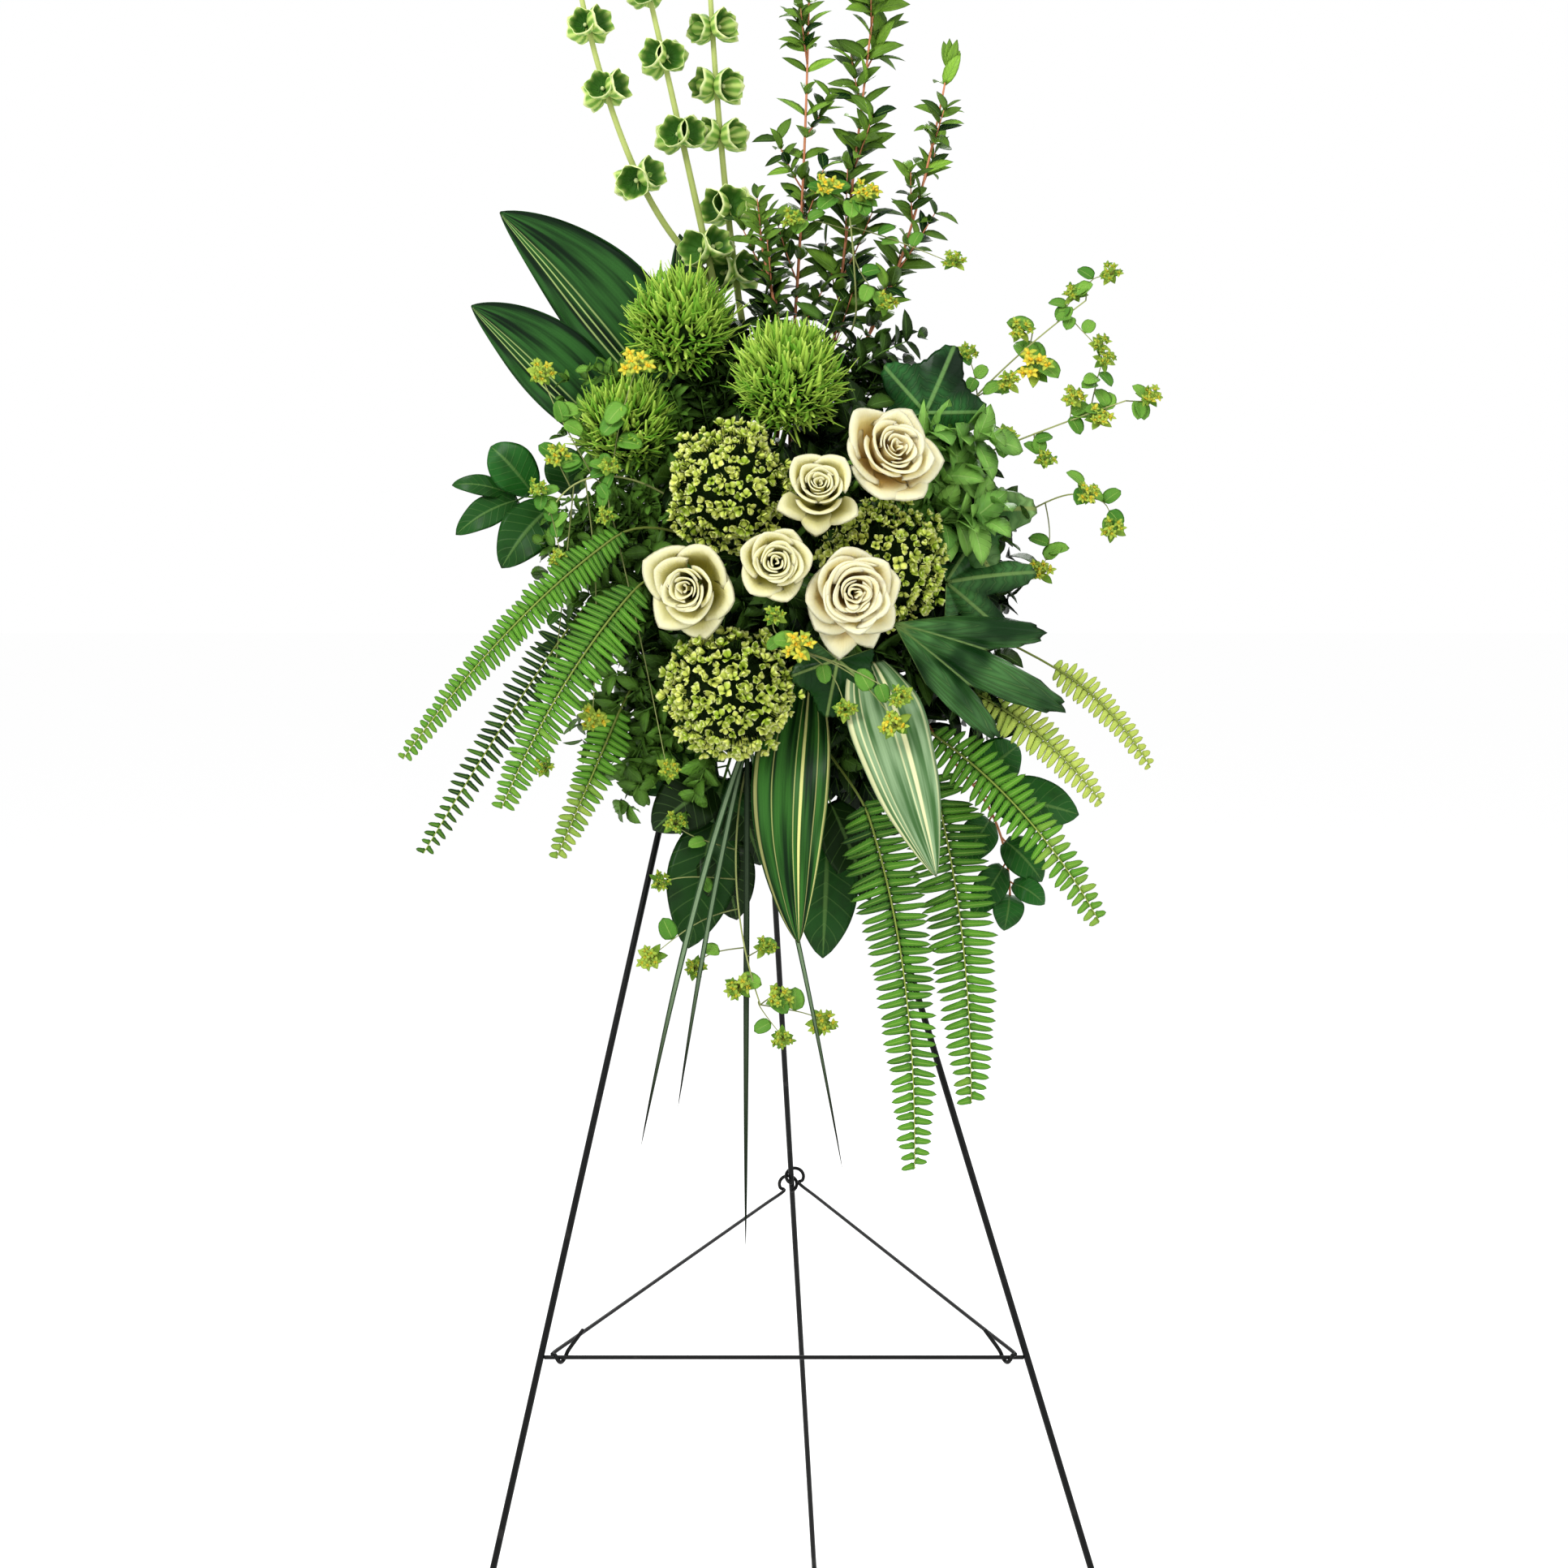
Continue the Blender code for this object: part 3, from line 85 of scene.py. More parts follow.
class Field:
    """A value that changes over a surface: signs between fields and numbers add Math nodes."""

    def __init__(self, finish, socket):
        self.finish, self.socket = finish, socket

    def __add__(self, other):
        return self.finish.math("ADD", self, other)

    def __radd__(self, other):
        return self.finish.math("ADD", other, self)

    def __sub__(self, other):
        return self.finish.math("SUBTRACT", self, other)

    def __rsub__(self, other):
        return self.finish.math("SUBTRACT", other, self)

    def __mul__(self, other):
        return self.finish.math("MULTIPLY", self, other)

    def __rmul__(self, other):
        return self.finish.math("MULTIPLY", other, self)

    def __abs__(self):
        return self.finish.math("ABSOLUTE", self)

    def __mod__(self, other):
        return self.finish.math("MODULO", self, other)


class Finish:
    """A material for one kind of surface. Every node in it comes from the method node."""

    def __init__(self, name, **constants):
        self.material = bpy.data.materials.new(name)
        self.material.use_nodes = True
        self.tree = self.material.node_tree
        self.shader = self.tree.nodes["Principled BSDF"]
        for socket, value in constants.items():
            self.shader.inputs[socket.replace("_", " ")].default_value = value

    def node(self, kind, settings, inputs, output=0):
        """A node: its settings, then the values or links of its sockets by name or number."""
        made = self.tree.nodes.new(kind)
        for name, value in settings.items():
            setattr(made, name, value)
        for name, value in inputs.items():
            if isinstance(value, Field):
                self.tree.links.new(value.socket, made.inputs[name])
            else:
                made.inputs[name].default_value = value
        return Field(self, made.outputs[output])

    def math(self, operation, *terms):
        """A Math node on fields or numbers."""
        return self.node("ShaderNodeMath", {"operation": operation}, dict(enumerate(terms)))

    def mix(self, share, first, second):
        """The first colour where share is 0 and the second where it is 1."""
        return self.node("ShaderNodeMix", {"data_type": "RGBA"}, {0: share, 6: first, 7: second}, 2)

    def step(self, value, low, high):
        """A smooth rise from 0 where value is low to 1 where it is high, or a fall if low is over high."""
        return self.node("ShaderNodeMapRange", {"interpolation_type": "SMOOTHSTEP"},
                         {"Value": value, "From Min": low, "From Max": high})

    def place(self):
        """The place on the piece, in metres from the floor's middle."""
        return self.node("ShaderNodeTexCoord", {}, {}, 3)

    def noise(self, scale, detail=2.0, where=None):
        """A soft random pattern of this many patches a metre."""
        where = where or self.place()
        return self.node("ShaderNodeTexNoise", {}, {"Vector": where, "Scale": scale, "Detail": detail})

    def surface(self, axis):
        """One of the two places on a piece's own skin."""
        places = self.node("ShaderNodeUVMap", {"uv_map": "surface"}, {})
        return self.node("ShaderNodeSeparateXYZ", {}, {0: places}, axis)

    def across(self):
        """0 at one edge of a blade, 1 at the other, or round a stem and back."""
        return self.surface(0)

    def along(self):
        """0 at the root of a blade and 1 at its tip."""
        return self.surface(1)

    def tone(self):
        """A number from 0 to 1 for each petal, leaf or needle."""
        return self.node("ShaderNodeAttribute", {"attribute_name": "tone"}, {}, 2)

    def lines(self, where, count):
        """Fine ridges along the blade: the fractional part of a place, folded to 0 to 1 and back."""
        return abs((where * count) % 1.0 - 0.5) * 2.0

    def wear(self, **fields):
        """Links what changes over the surface to the shader."""
        for socket, field in fields.items():
            self.tree.links.new(field.socket, self.shader.inputs[socket.replace("_", " ")])
        return self

    def relief(self, height, depth):
        """Links a height, in shares of the depth in metres, to the shader's normal."""
        bump = self.node("ShaderNodeBump", {}, {"Height": height, "Distance": depth, "Strength": 1.0})
        return self.wear(Normal=bump)


studio_white = Finish("studio_white", Base_Color=(0.99, 0.99, 0.99, 1), Specular_IOR_Level=0.0)
studio_white.wear(Roughness=0.85 + studio_white.noise(3.0) * 0.1)
floor_mesh.materials.append(studio_white.material)


# Easel: a florist's stand of three straight rods in satin black paint, bound by a wire collar under
# their tops. The two front rods splay sideways and the rear one stands behind.
APEX = np.array((-0.053, -0.060, 1.370))
FEET = {"leg_left": (-0.360, -0.400, 0), "leg_right": (0.367, -0.400, 0), "leg_rear": (0.020, 0.400, 0)}
OFF_AXIS = {"leg_left": (-0.00348, -0.0020, 0), "leg_right": (0.00348, -0.0020, 0),
            "leg_rear": (0, 0.0040, 0)}
LEG_RADIUS, BRACE_RADIUS, COLLAR_WIRE = 0.0031, 0.0019, 0.0015
COLLAR_DROP, GAP = 0.008, 0.0003


def colour(red, green, blue):
    """A shader colour from the display values 0 to 255 that a screen would show."""
    share = np.array((red, green, blue)) / 255
    return (*np.where(share < 0.04, share / 12.92, ((share + 0.055) / 1.055) ** 2.4), 1.0)


black_wire = Finish("satin_black_wire", Specular_IOR_Level=0.16)
worn = black_wire.step(black_wire.noise(55.0, 4.0), 0.62, 0.72)
black_wire.wear(Base_Color=black_wire.mix(worn, colour(5, 6, 6), colour(30, 29, 28)),
                Roughness=0.30 + black_wire.noise(140.0) * 0.22)
black_wire.relief(black_wire.noise(420.0, 3.0), 0.0002)


def unit(vectors):
    """Each vector divided by its own length."""
    vectors = np.asarray(vectors, float)
    return vectors / np.maximum(np.linalg.norm(vectors, axis=-1, keepdims=True), 1e-12)


def cells_of(numbers):
    """Corner numbers of every cell of a grid of vertex numbers, corner by corner round the cell."""
    around = numbers[:-1, :-1], numbers[:-1, 1:], numbers[1:, 1:], numbers[1:, :-1]
    return np.stack(around, -1).reshape(-1, 4)


def rounds(points, loop=False):
    """Closed skins from points (copies, rows, columns, 3) that close round their columns. The first and the
    last row each shrink to their mean, or with loop the rows close round as well."""
    copies, rows, columns, _ = points.shape
    fold = 1 - np.abs(np.arange(columns) * 2 / columns - 1)
    share = np.linspace(0, 1, rows)
    if loop:
        numbers = np.arange(rows * columns).reshape(rows, columns)
        numbers = np.vstack([numbers, numbers[:1]])
        vertices = points.reshape(copies, -1, 3)
        uv = np.stack(np.broadcast_arrays(fold[None], share[:, None]), -1).reshape(-1, 2)
    else:
        inner = np.arange((rows - 2) * columns).reshape(rows - 2, columns) + 1
        numbers = np.vstack([np.zeros((1, columns), int), inner, np.full((1, columns), inner.max() + 1)])
        ends = points.mean(axis=2)
        vertices = np.concatenate([ends[:, :1], points[:, 1:-1].reshape(copies, -1, 3), ends[:, -1:]], axis=1)
        body = np.stack(np.broadcast_arrays(fold[None], share[1:-1, None]), -1).reshape(-1, 2)
        uv = np.vstack([(0.5, 0), body, (0.5, 1)])
    return vertices, cells_of(np.hstack([numbers, numbers[:, :1]])), uv


def volume_of(vertices, cells):
    """The sum over a skin's faces of the triple product of their corners, from the first corner."""
    a, b, c, d = (vertices[cells[:, k]] - vertices[0] for k in range(4))
    return np.einsum("ij,ij->", a, np.cross(b, c) + np.cross(c, d))


def make(name, layers, finish, slot, *nodes):
    """One object at the origin from layers of (skins, tones), turned to face outwards. It rides on the root,
    wears the finish and stands for the CAD nodes. The slot is not used."""
    start, vertices, corners, sizes, uvs, tones = 0, [], [], [], [], []
    for (points, cells, uv), tone in layers:
        copies, count = points.shape[:2]
        if volume_of(points[0], cells) < 0:
            cells = cells[:, ::-1]
        real = np.ones(cells.shape, bool)
        real[:, 1], real[:, 3] = cells[:, 0] != cells[:, 1], cells[:, 2] != cells[:, 3]
        offset = start + count * np.arange(copies)[:, None]
        corners.append((cells[real][None] + offset).ravel())
        sizes.append(np.tile(real.sum(axis=1), copies))
        vertices.append(points.reshape(-1, 3))
        uvs.append(np.tile(uv, (copies, 1)))
        tones.append(np.repeat(np.broadcast_to(tone, copies), count))
        start += copies * count
    corners, sizes = np.concatenate(corners), np.concatenate(sizes)
    mesh = bpy.data.meshes.new(name)
    mesh.vertices.add(start)
    mesh.vertices.foreach_set("co", np.concatenate(vertices).astype(np.float32).ravel())
    mesh.loops.add(len(corners))
    mesh.loops.foreach_set("vertex_index", corners.astype(np.int32))
    mesh.polygons.add(len(sizes))
    mesh.polygons.foreach_set("loop_start", (np.cumsum(sizes) - sizes).astype(np.int32))
    mesh.update(calc_edges=True)
    mesh.validate()
    surface = mesh.uv_layers.new(name="surface")
    surface.uv.foreach_set("vector", np.concatenate(uvs)[corners].astype(np.float32).ravel())
    tone = mesh.attributes.new("tone", "FLOAT", "POINT")
    tone.data.foreach_set("value", np.concatenate(tones).astype(np.float32))
    mesh.shade_smooth()
    mesh.materials.append(finish.material)
    piece = bpy.data.objects.new(name, mesh)
    bpy.context.scene.collection.objects.link(piece)
    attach(piece, "root")
    if nodes:
        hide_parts(*nodes)


def tube(path, radius, sides=10, loop=False):
    """A round profile carried along a path. Its frame turns with the path by the least turn from point to
    point, and the ends are domed."""
    path = np.asarray(path, float)
    radius = np.broadcast_to(radius, len(path))
    if loop:
        tangent = unit(np.roll(path, -1, 0) - np.roll(path, 1, 0))
    else:
        tangent = unit(np.gradient(path, axis=0))
    side = np.empty_like(path)
    side[0] = unit(np.cross(tangent[0], np.eye(3)[np.argmin(np.abs(tangent[0]))]))
    for k in range(1, len(path)):
        side[k] = unit(side[k - 1] - tangent[k] * (side[k - 1] @ tangent[k]))
    turn = np.arange(sides) * 2 * math.pi / sides
    ring = side[:, None] * np.cos(turn)[:, None] + np.cross(tangent, side)[:, None] * np.sin(turn)[:, None]
    skin = path[:, None] + ring * radius[:, None, None]
    if not loop:
        dome = 0.6 * ring[[0, -1]] * radius[[0, -1], None, None]
        first = path[0] - tangent[0] * radius[0] * 0.4 + dome[:1]
        last = path[-1] + tangent[-1] * radius[-1] * 0.4 + dome[1:]
        tips = path[[0, -1]] + tangent[[0, -1]] * radius[[0, -1], None] * np.array([[-0.5], [0.5]])
        skin = np.concatenate([np.repeat(tips[:1, None], sides, 1), first, skin, last,
                               np.repeat(tips[1:, None], sides, 1)])
    return rounds(skin[None], loop)


def on_leg(name, height):
    """The middle of a leg at this height: a straight line from its top to its foot."""
    top, foot = APEX + OFF_AXIS[name], np.array(FEET[name], float)
    return top + (foot - top) * (top[2] - height) / top[2]


for leg_name in FEET:
    heights = np.linspace(APEX[2], -0.002, 60)
    skin, cells, uv = tube([on_leg(leg_name, height) for height in heights], LEG_RADIUS, 20)
    skin[..., 2] = np.maximum(skin[..., 2], 0)
    make("rod_" + leg_name[4:], [((skin, cells, uv), 0.5)], black_wire, "black_wire", leg_name)

bound = np.array([on_leg(leg_name, APEX[2] - COLLAR_DROP) for leg_name in FEET])
collar_radius = np.linalg.norm(bound - bound.mean(0), axis=1).max() + LEG_RADIUS + COLLAR_WIRE + 2 * GAP
turn = np.linspace(0, 2 * math.pi, 48, endpoint=False)
circle = np.stack([np.cos(turn), np.sin(turn), 0 * turn], -1) * collar_radius + bound.mean(0)
collar = tube(circle, COLLAR_WIRE, 12, loop=True)
make("binding_ring", [(collar, 0.5)], black_wire, "black_wire", "apex_collar")


# Braces: a rod welded across the front legs, and two thinner wires, each looped round the rear leg at
# one end and hooked under the cross rod at the other with its tail standing up.
ROD_HEIGHT, EYE_HEIGHT, EYE_RADIUS, EYE_TILT = 0.524, 0.548, 0.0100, math.radians(50)
HOOK_INSET, TAIL_HEIGHT, EYE_PITCH = 0.017, 0.024, 0.0001
rod_ends = on_leg("leg_left", ROD_HEIGHT), on_leg("leg_right", ROD_HEIGHT)
inset = np.array((LEG_RADIUS + 2 * GAP, 0, 0))
cross_path = np.linspace(rod_ends[0] + inset, rod_ends[1] - inset, 40)
make("front_cross_rod", [(tube(cross_path, BRACE_RADIUS, 16), 0.5)], black_wire, "black_wire", "cross_rod")


def smooth_path(points, spans=6):
    """A Catmull-Rom curve through the points: each span is a cubic in its four nearest points."""
    points = np.asarray(points, float)
    full = np.vstack([2 * points[0] - points[1], points, 2 * points[-1] - points[-2]])
    a, b, c, d = (full[k:len(full) - 3 + k, None] for k in range(4))
    t = (np.arange(spans) / spans)[None, :, None]
    curve = 2 * b + (c - a) * t + (2 * a - 5 * b + 4 * c - d) * t ** 2 + (3 * b - a - 3 * c + d) * t ** 3
    return np.vstack([0.5 * curve.reshape(-1, 3), points[-1:]])


for brace_name, leg_name, side, eye_height in (("side_wire_left", "leg_left", -1, EYE_HEIGHT),
                                               ("side_wire_right", "leg_right", 1, EYE_HEIGHT + 0.010)):
    rod = on_leg(leg_name, ROD_HEIGHT) - (side * HOOK_INSET, 0, 0)
    wrap = 2 * BRACE_RADIUS + 2 * GAP
    tail = rod + [(-side * 0.022, wrap + 0.002, TAIL_HEIGHT), (-side * 0.009, wrap + 0.0008, 0.006)]
    turn = -math.pi * np.arange(7) / 4
    along_rod = -side * (0.006 - 0.0018 * np.arange(7))
    hook = rod + np.stack([along_rod, wrap * np.cos(turn), wrap * np.sin(turn)], -1)
    eye = on_leg("leg_rear", eye_height) + (side * (EYE_RADIUS - BRACE_RADIUS - LEG_RADIUS - 3 * GAP), 0, 0)
    away = np.array((0, math.cos(EYE_TILT), math.sin(EYE_TILT)))
    rise = np.array((0, -math.sin(EYE_TILT), math.cos(EYE_TILT)))
    turn = np.radians(-60 + 31 * np.arange(11))[:, None]
    ring = (eye + EYE_RADIUS * ((side, 0, 0) * np.cos(turn) + away * np.sin(turn))
            + rise * EYE_PITCH * np.arange(11)[:, None])
    gap_between = ring[0] - hook[-1]
    steps = np.linspace(0, 1, 12)[1:-1, None]
    route = smooth_path(np.vstack([tail, hook, hook[-1] + gap_between * steps, ring]), 5)
    brace = tube(route, BRACE_RADIUS, 12)
    make(brace_name.replace("wire", "brace"), [(brace, 0.5)], black_wire, "black_wire", brace_name)


# Foam and cage: a block of wet florist's foam in a green plastic tray with two bands over its front,
# tied by wire to the front legs. Both solids are right as they are and get their own finishes.
foam_finish = Finish("wet_foam", Roughness=0.95)
pits = foam_finish.node("ShaderNodeTexVoronoi", {}, {"Vector": foam_finish.place(), "Scale": 900.0})
foam_tint = foam_finish.mix(foam_finish.noise(60.0, 5.0), colour(20, 52, 28), colour(48, 92, 50))
foam_finish.wear(Base_Color=foam_tint)
foam_finish.relief(pits + foam_finish.noise(300.0), 0.0008)
cage_finish = Finish("green_cage_plastic", Coat_Weight=0.15)
cage_finish.wear(Base_Color=cage_finish.mix(cage_finish.noise(40.0), colour(24, 74, 40), colour(34, 92, 52)),
                 Roughness=0.36 + cage_finish.noise(160.0) * 0.2)
cage_finish.relief(cage_finish.noise(500.0, 3.0), 0.0002)
for node_name, finish in (("foam_block", foam_finish), ("foam_cage", cage_finish)):
    for slot_number in range(len(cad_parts[node_name].material_slots)):
        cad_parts[node_name].material_slots[slot_number].material = finish.material

FOAM_CENTRE = np.array((-0.045, -0.13356654, 1.25192380))
UP, OUT = np.array((0, 0.24086834, 0.97055775)), np.array((0, -0.97055775, 0.24086834))
ACROSS = np.array((1.0, 0, 0))
FOAM_WIDTH, FOAM_HEIGHT, FOAM_DEPTH = 0.110, 0.215, 0.070
TAB_LENGTH, TAB_WIDTH, CAGE_WALL, TIE_RADIUS = 0.030, 0.012, 0.0025, 0.0012

tie_finish = Finish("green_tie_wire", Metallic=0.3)
tie_finish.wear(Base_Color=tie_finish.mix(tie_finish.noise(200.0), colour(40, 84, 44), colour(24, 56, 30)),
                Roughness=0.4 + tie_finish.noise(300.0) * 0.2)
for tie_name, leg_name in (("tie_left", "leg_left"), ("tie_right", "leg_right")):
    height = (FOAM_CENTRE - UP * (FOAM_HEIGHT / 2 + TAB_LENGTH * 0.6))[2]
    reach, rear = TAB_WIDTH / 2 + TIE_RADIUS + 2 * GAP, -LEG_RADIUS - TIE_RADIUS * 0.62
    front = LEG_RADIUS + CAGE_WALL + TIE_RADIUS + 3 * GAP
    outline = np.array([(-reach, front), (reach, front), (reach, 0.002), (0.45 * reach, rear),
                        (-0.45 * reach, rear), (-reach, 0.002)])
    corners = np.repeat(outline, 8, axis=0)
    share = np.tile(np.arange(8) / 8, len(outline))[:, None]
    corners = corners * (1 - share) + np.repeat(np.roll(outline, -1, 0), 8, axis=0) * share
    corners = (np.roll(corners, 2, 0) + np.roll(corners, 1, 0) + corners + np.roll(corners, -1, 0)
               + np.roll(corners, -2, 0)) / 5
    wire = on_leg(leg_name, height) + corners[:, :1] * ACROSS + corners[:, 1:] * OUT
    twist = np.array([(0, 0, 0), (0.002, -0.004, 0.004), (-0.001, -0.005, 0.010)])
    ear = smooth_path(on_leg(leg_name, height) + OUT * front + twist)
    layers = [(tube(wire, TIE_RADIUS, 8, loop=True), 0.5), (tube(ear, TIE_RADIUS * 0.8, 8), 0.5)]
    make("wire_" + tie_name, layers, tie_finish, "tie_wire", tie_name)


# Stems: each goes into its own hole in the foam. The next free hole on the line to the head takes it, as
# in the solids, and it leaves square to the foam and bends to the head as a cubic curve.
HOLE_PITCH, HOLE_DEPTH, BAND_ROWS, BAND_CLEAR = 0.0131, 0.016, (-0.036, 0.036), 0.0065
rows = HOLE_PITCH * (np.arange(15) - 7)
rows = [row for row in rows if min(abs(row - band) for band in BAND_ROWS) > BAND_CLEAR]
columns, shallow = HOLE_PITCH * (np.arange(8) - 3.5), (-0.015, -0.002, 0.011)
holes = []
for row in rows:
    holes += [(FOAM_CENTRE + ACROSS * c + UP * row + OUT * FOAM_DEPTH / 2, OUT) for c in columns]
    if abs(row) < 0.080:
        holes += [(FOAM_CENTRE + ACROSS * side * FOAM_WIDTH / 2 + UP * row + OUT * depth, ACROSS * side)
                  for side in (-1, 1) for depth in shallow]
holes += [(FOAM_CENTRE + ACROSS * c + UP * side * FOAM_HEIGHT / 2 + OUT * depth, UP * side)
          for side in (-1, 1) for c in columns for depth in shallow]


def angle_between(first, second):
    """The arc cosine of the product of both unit vectors."""
    return math.acos(np.clip(unit(first) @ unit(second), -1, 1))


def stem_path(head, arrival, bow=(0, 0, 0)):
    """From the bottom of its hole straight out, then a cubic Bezier curve that arrives along arrival."""
    head, arrival = np.array(head, float), unit(arrival)
    scores = [angle_between(mouth - FOAM_CENTRE, head - FOAM_CENTRE)
              + 0.8 * angle_between(outward, head - mouth) for mouth, outward in holes]
    mouth, outward = holes.pop(int(np.argmin(scores)))
    reach = np.linalg.norm(head - mouth)
    start = mouth + outward * 0.002
    first, last = mouth + outward * (0.008 + 0.25 * reach) + bow, head - arrival * 0.35 * reach + bow
    t = np.linspace(0, 1, 14)[:, None]
    curve = (1 - t) ** 3 * start + 3 * t * (1 - t) ** 2 * first + 3 * t ** 2 * (1 - t) * last + t ** 3 * head
    return np.vstack([mouth - outward * (HOLE_DEPTH - GAP), curve])


def stem_finish(name, young, old):
    """Smooth green bark, paler towards the tip, with faint ridges along it."""
    finish = Finish(name, Specular_IOR_Level=0.2)
    tint = finish.step(finish.along() + finish.noise(50.0) * 0.3, 0.25, 1.1)
    finish.wear(Base_Color=finish.mix(tint, old, young), Roughness=0.42 + finish.noise(130.0) * 0.2)
    return finish.relief(finish.noise(700.0, 2.0), 0.0002)


green_stem = stem_finish("green_stem", colour(92, 132, 46), colour(34, 70, 24))


def axes_of(direction):
    """Three square directions: forward along this one, side square to it and level, and top."""
    forward = unit(direction)
    side = np.cross(forward, (0, 0, 1.0))
    flat = np.linalg.norm(side, axis=-1, keepdims=True) < 0.1
    side = unit(np.where(flat, np.broadcast_to((1.0, 0, 0), side.shape), side))
    return forward, side, np.cross(side, forward)


def blades(middle, thickness):
    """Closed thin shells from middle surfaces (copies, rows, columns, 3). Front and back stand off the middle
    along its normal by half the thickness, less towards the four edges, where they meet."""
    copies, rows, columns, _ = middle.shape
    normal = unit(np.cross(np.gradient(middle, axis=2), np.gradient(middle, axis=1)))
    s, t = np.linspace(-1, 1, columns), np.linspace(-1, 1, rows)
    fall = np.outer(1 - t ** 4, 1 - s ** 4) ** 0.5
    offset = normal * (thickness / 2 * fall)[None, :, :, None]
    front, back = middle + offset, (middle - offset)[:, 1:-1, 1:-1]
    numbers = np.arange(rows * columns).reshape(rows, columns)
    under = numbers.copy()
    under[1:-1, 1:-1] = rows * columns + np.arange((rows - 2) * (columns - 2)).reshape(rows - 2, columns - 2)
    grid = np.stack(np.broadcast_arrays((s[None] + 1) / 2, (t[:, None] + 1) / 2), -1)
    uv = np.vstack([grid.reshape(-1, 2), grid[1:-1, 1:-1].reshape(-1, 2)])
    vertices = np.concatenate([front.reshape(copies, -1, 3), back.reshape(copies, -1, 3)], axis=1)
    return vertices, np.vstack([cells_of(numbers), cells_of(under)[:, ::-1]]), uv


def leaves(root, direction, facing, length, width, profile, rows=7, columns=5, curl=0.4, cup=0.25,
           thickness=0.0006):
    """Leaves or petals, one for each root. The midrib is an arc of the length that turns back by curl
    radians, the half width is profile(t), and the sides lift by cup times the square of the way out."""
    root, direction, facing = (np.atleast_2d(v).astype(float) for v in (root, direction, facing))
    count = max(len(root), len(direction))
    forward = unit(direction)
    across = unit(np.cross(forward, facing))
    outward = np.cross(across, forward)
    sizes = (np.broadcast_to(v, count)[:, None, None, None] for v in (length, width, curl, cup))
    length, width, curl, cup = sizes
    t, s = np.linspace(0, 1, rows)[None, :, None, None], np.linspace(-1, 1, columns)[None, None, :, None]
    bend = np.where(np.abs(curl) < 1e-3, 1e-3, curl)
    forward, across, outward, root = (v[:, None, None] for v in (forward, across, outward, root))
    run, drop = np.sin(bend * t) / bend, (1 - np.cos(bend * t)) / bend
    normal = outward * np.cos(bend * t) + forward * np.sin(bend * t)
    half = width / 2 * np.maximum(profile(t), 0.03)
    middle = (root + forward * length * run - outward * length * drop + across * s * half
              + normal * cup * half * s ** 2)
    return blades(middle, thickness)


def oval(t):
    """Half-width share of a pointed oval: the sine of the way along, widest a little before the middle."""
    return np.sin(math.pi * np.clip(0.03 + 0.97 * t, 0, 1) ** 0.85) ** 0.8


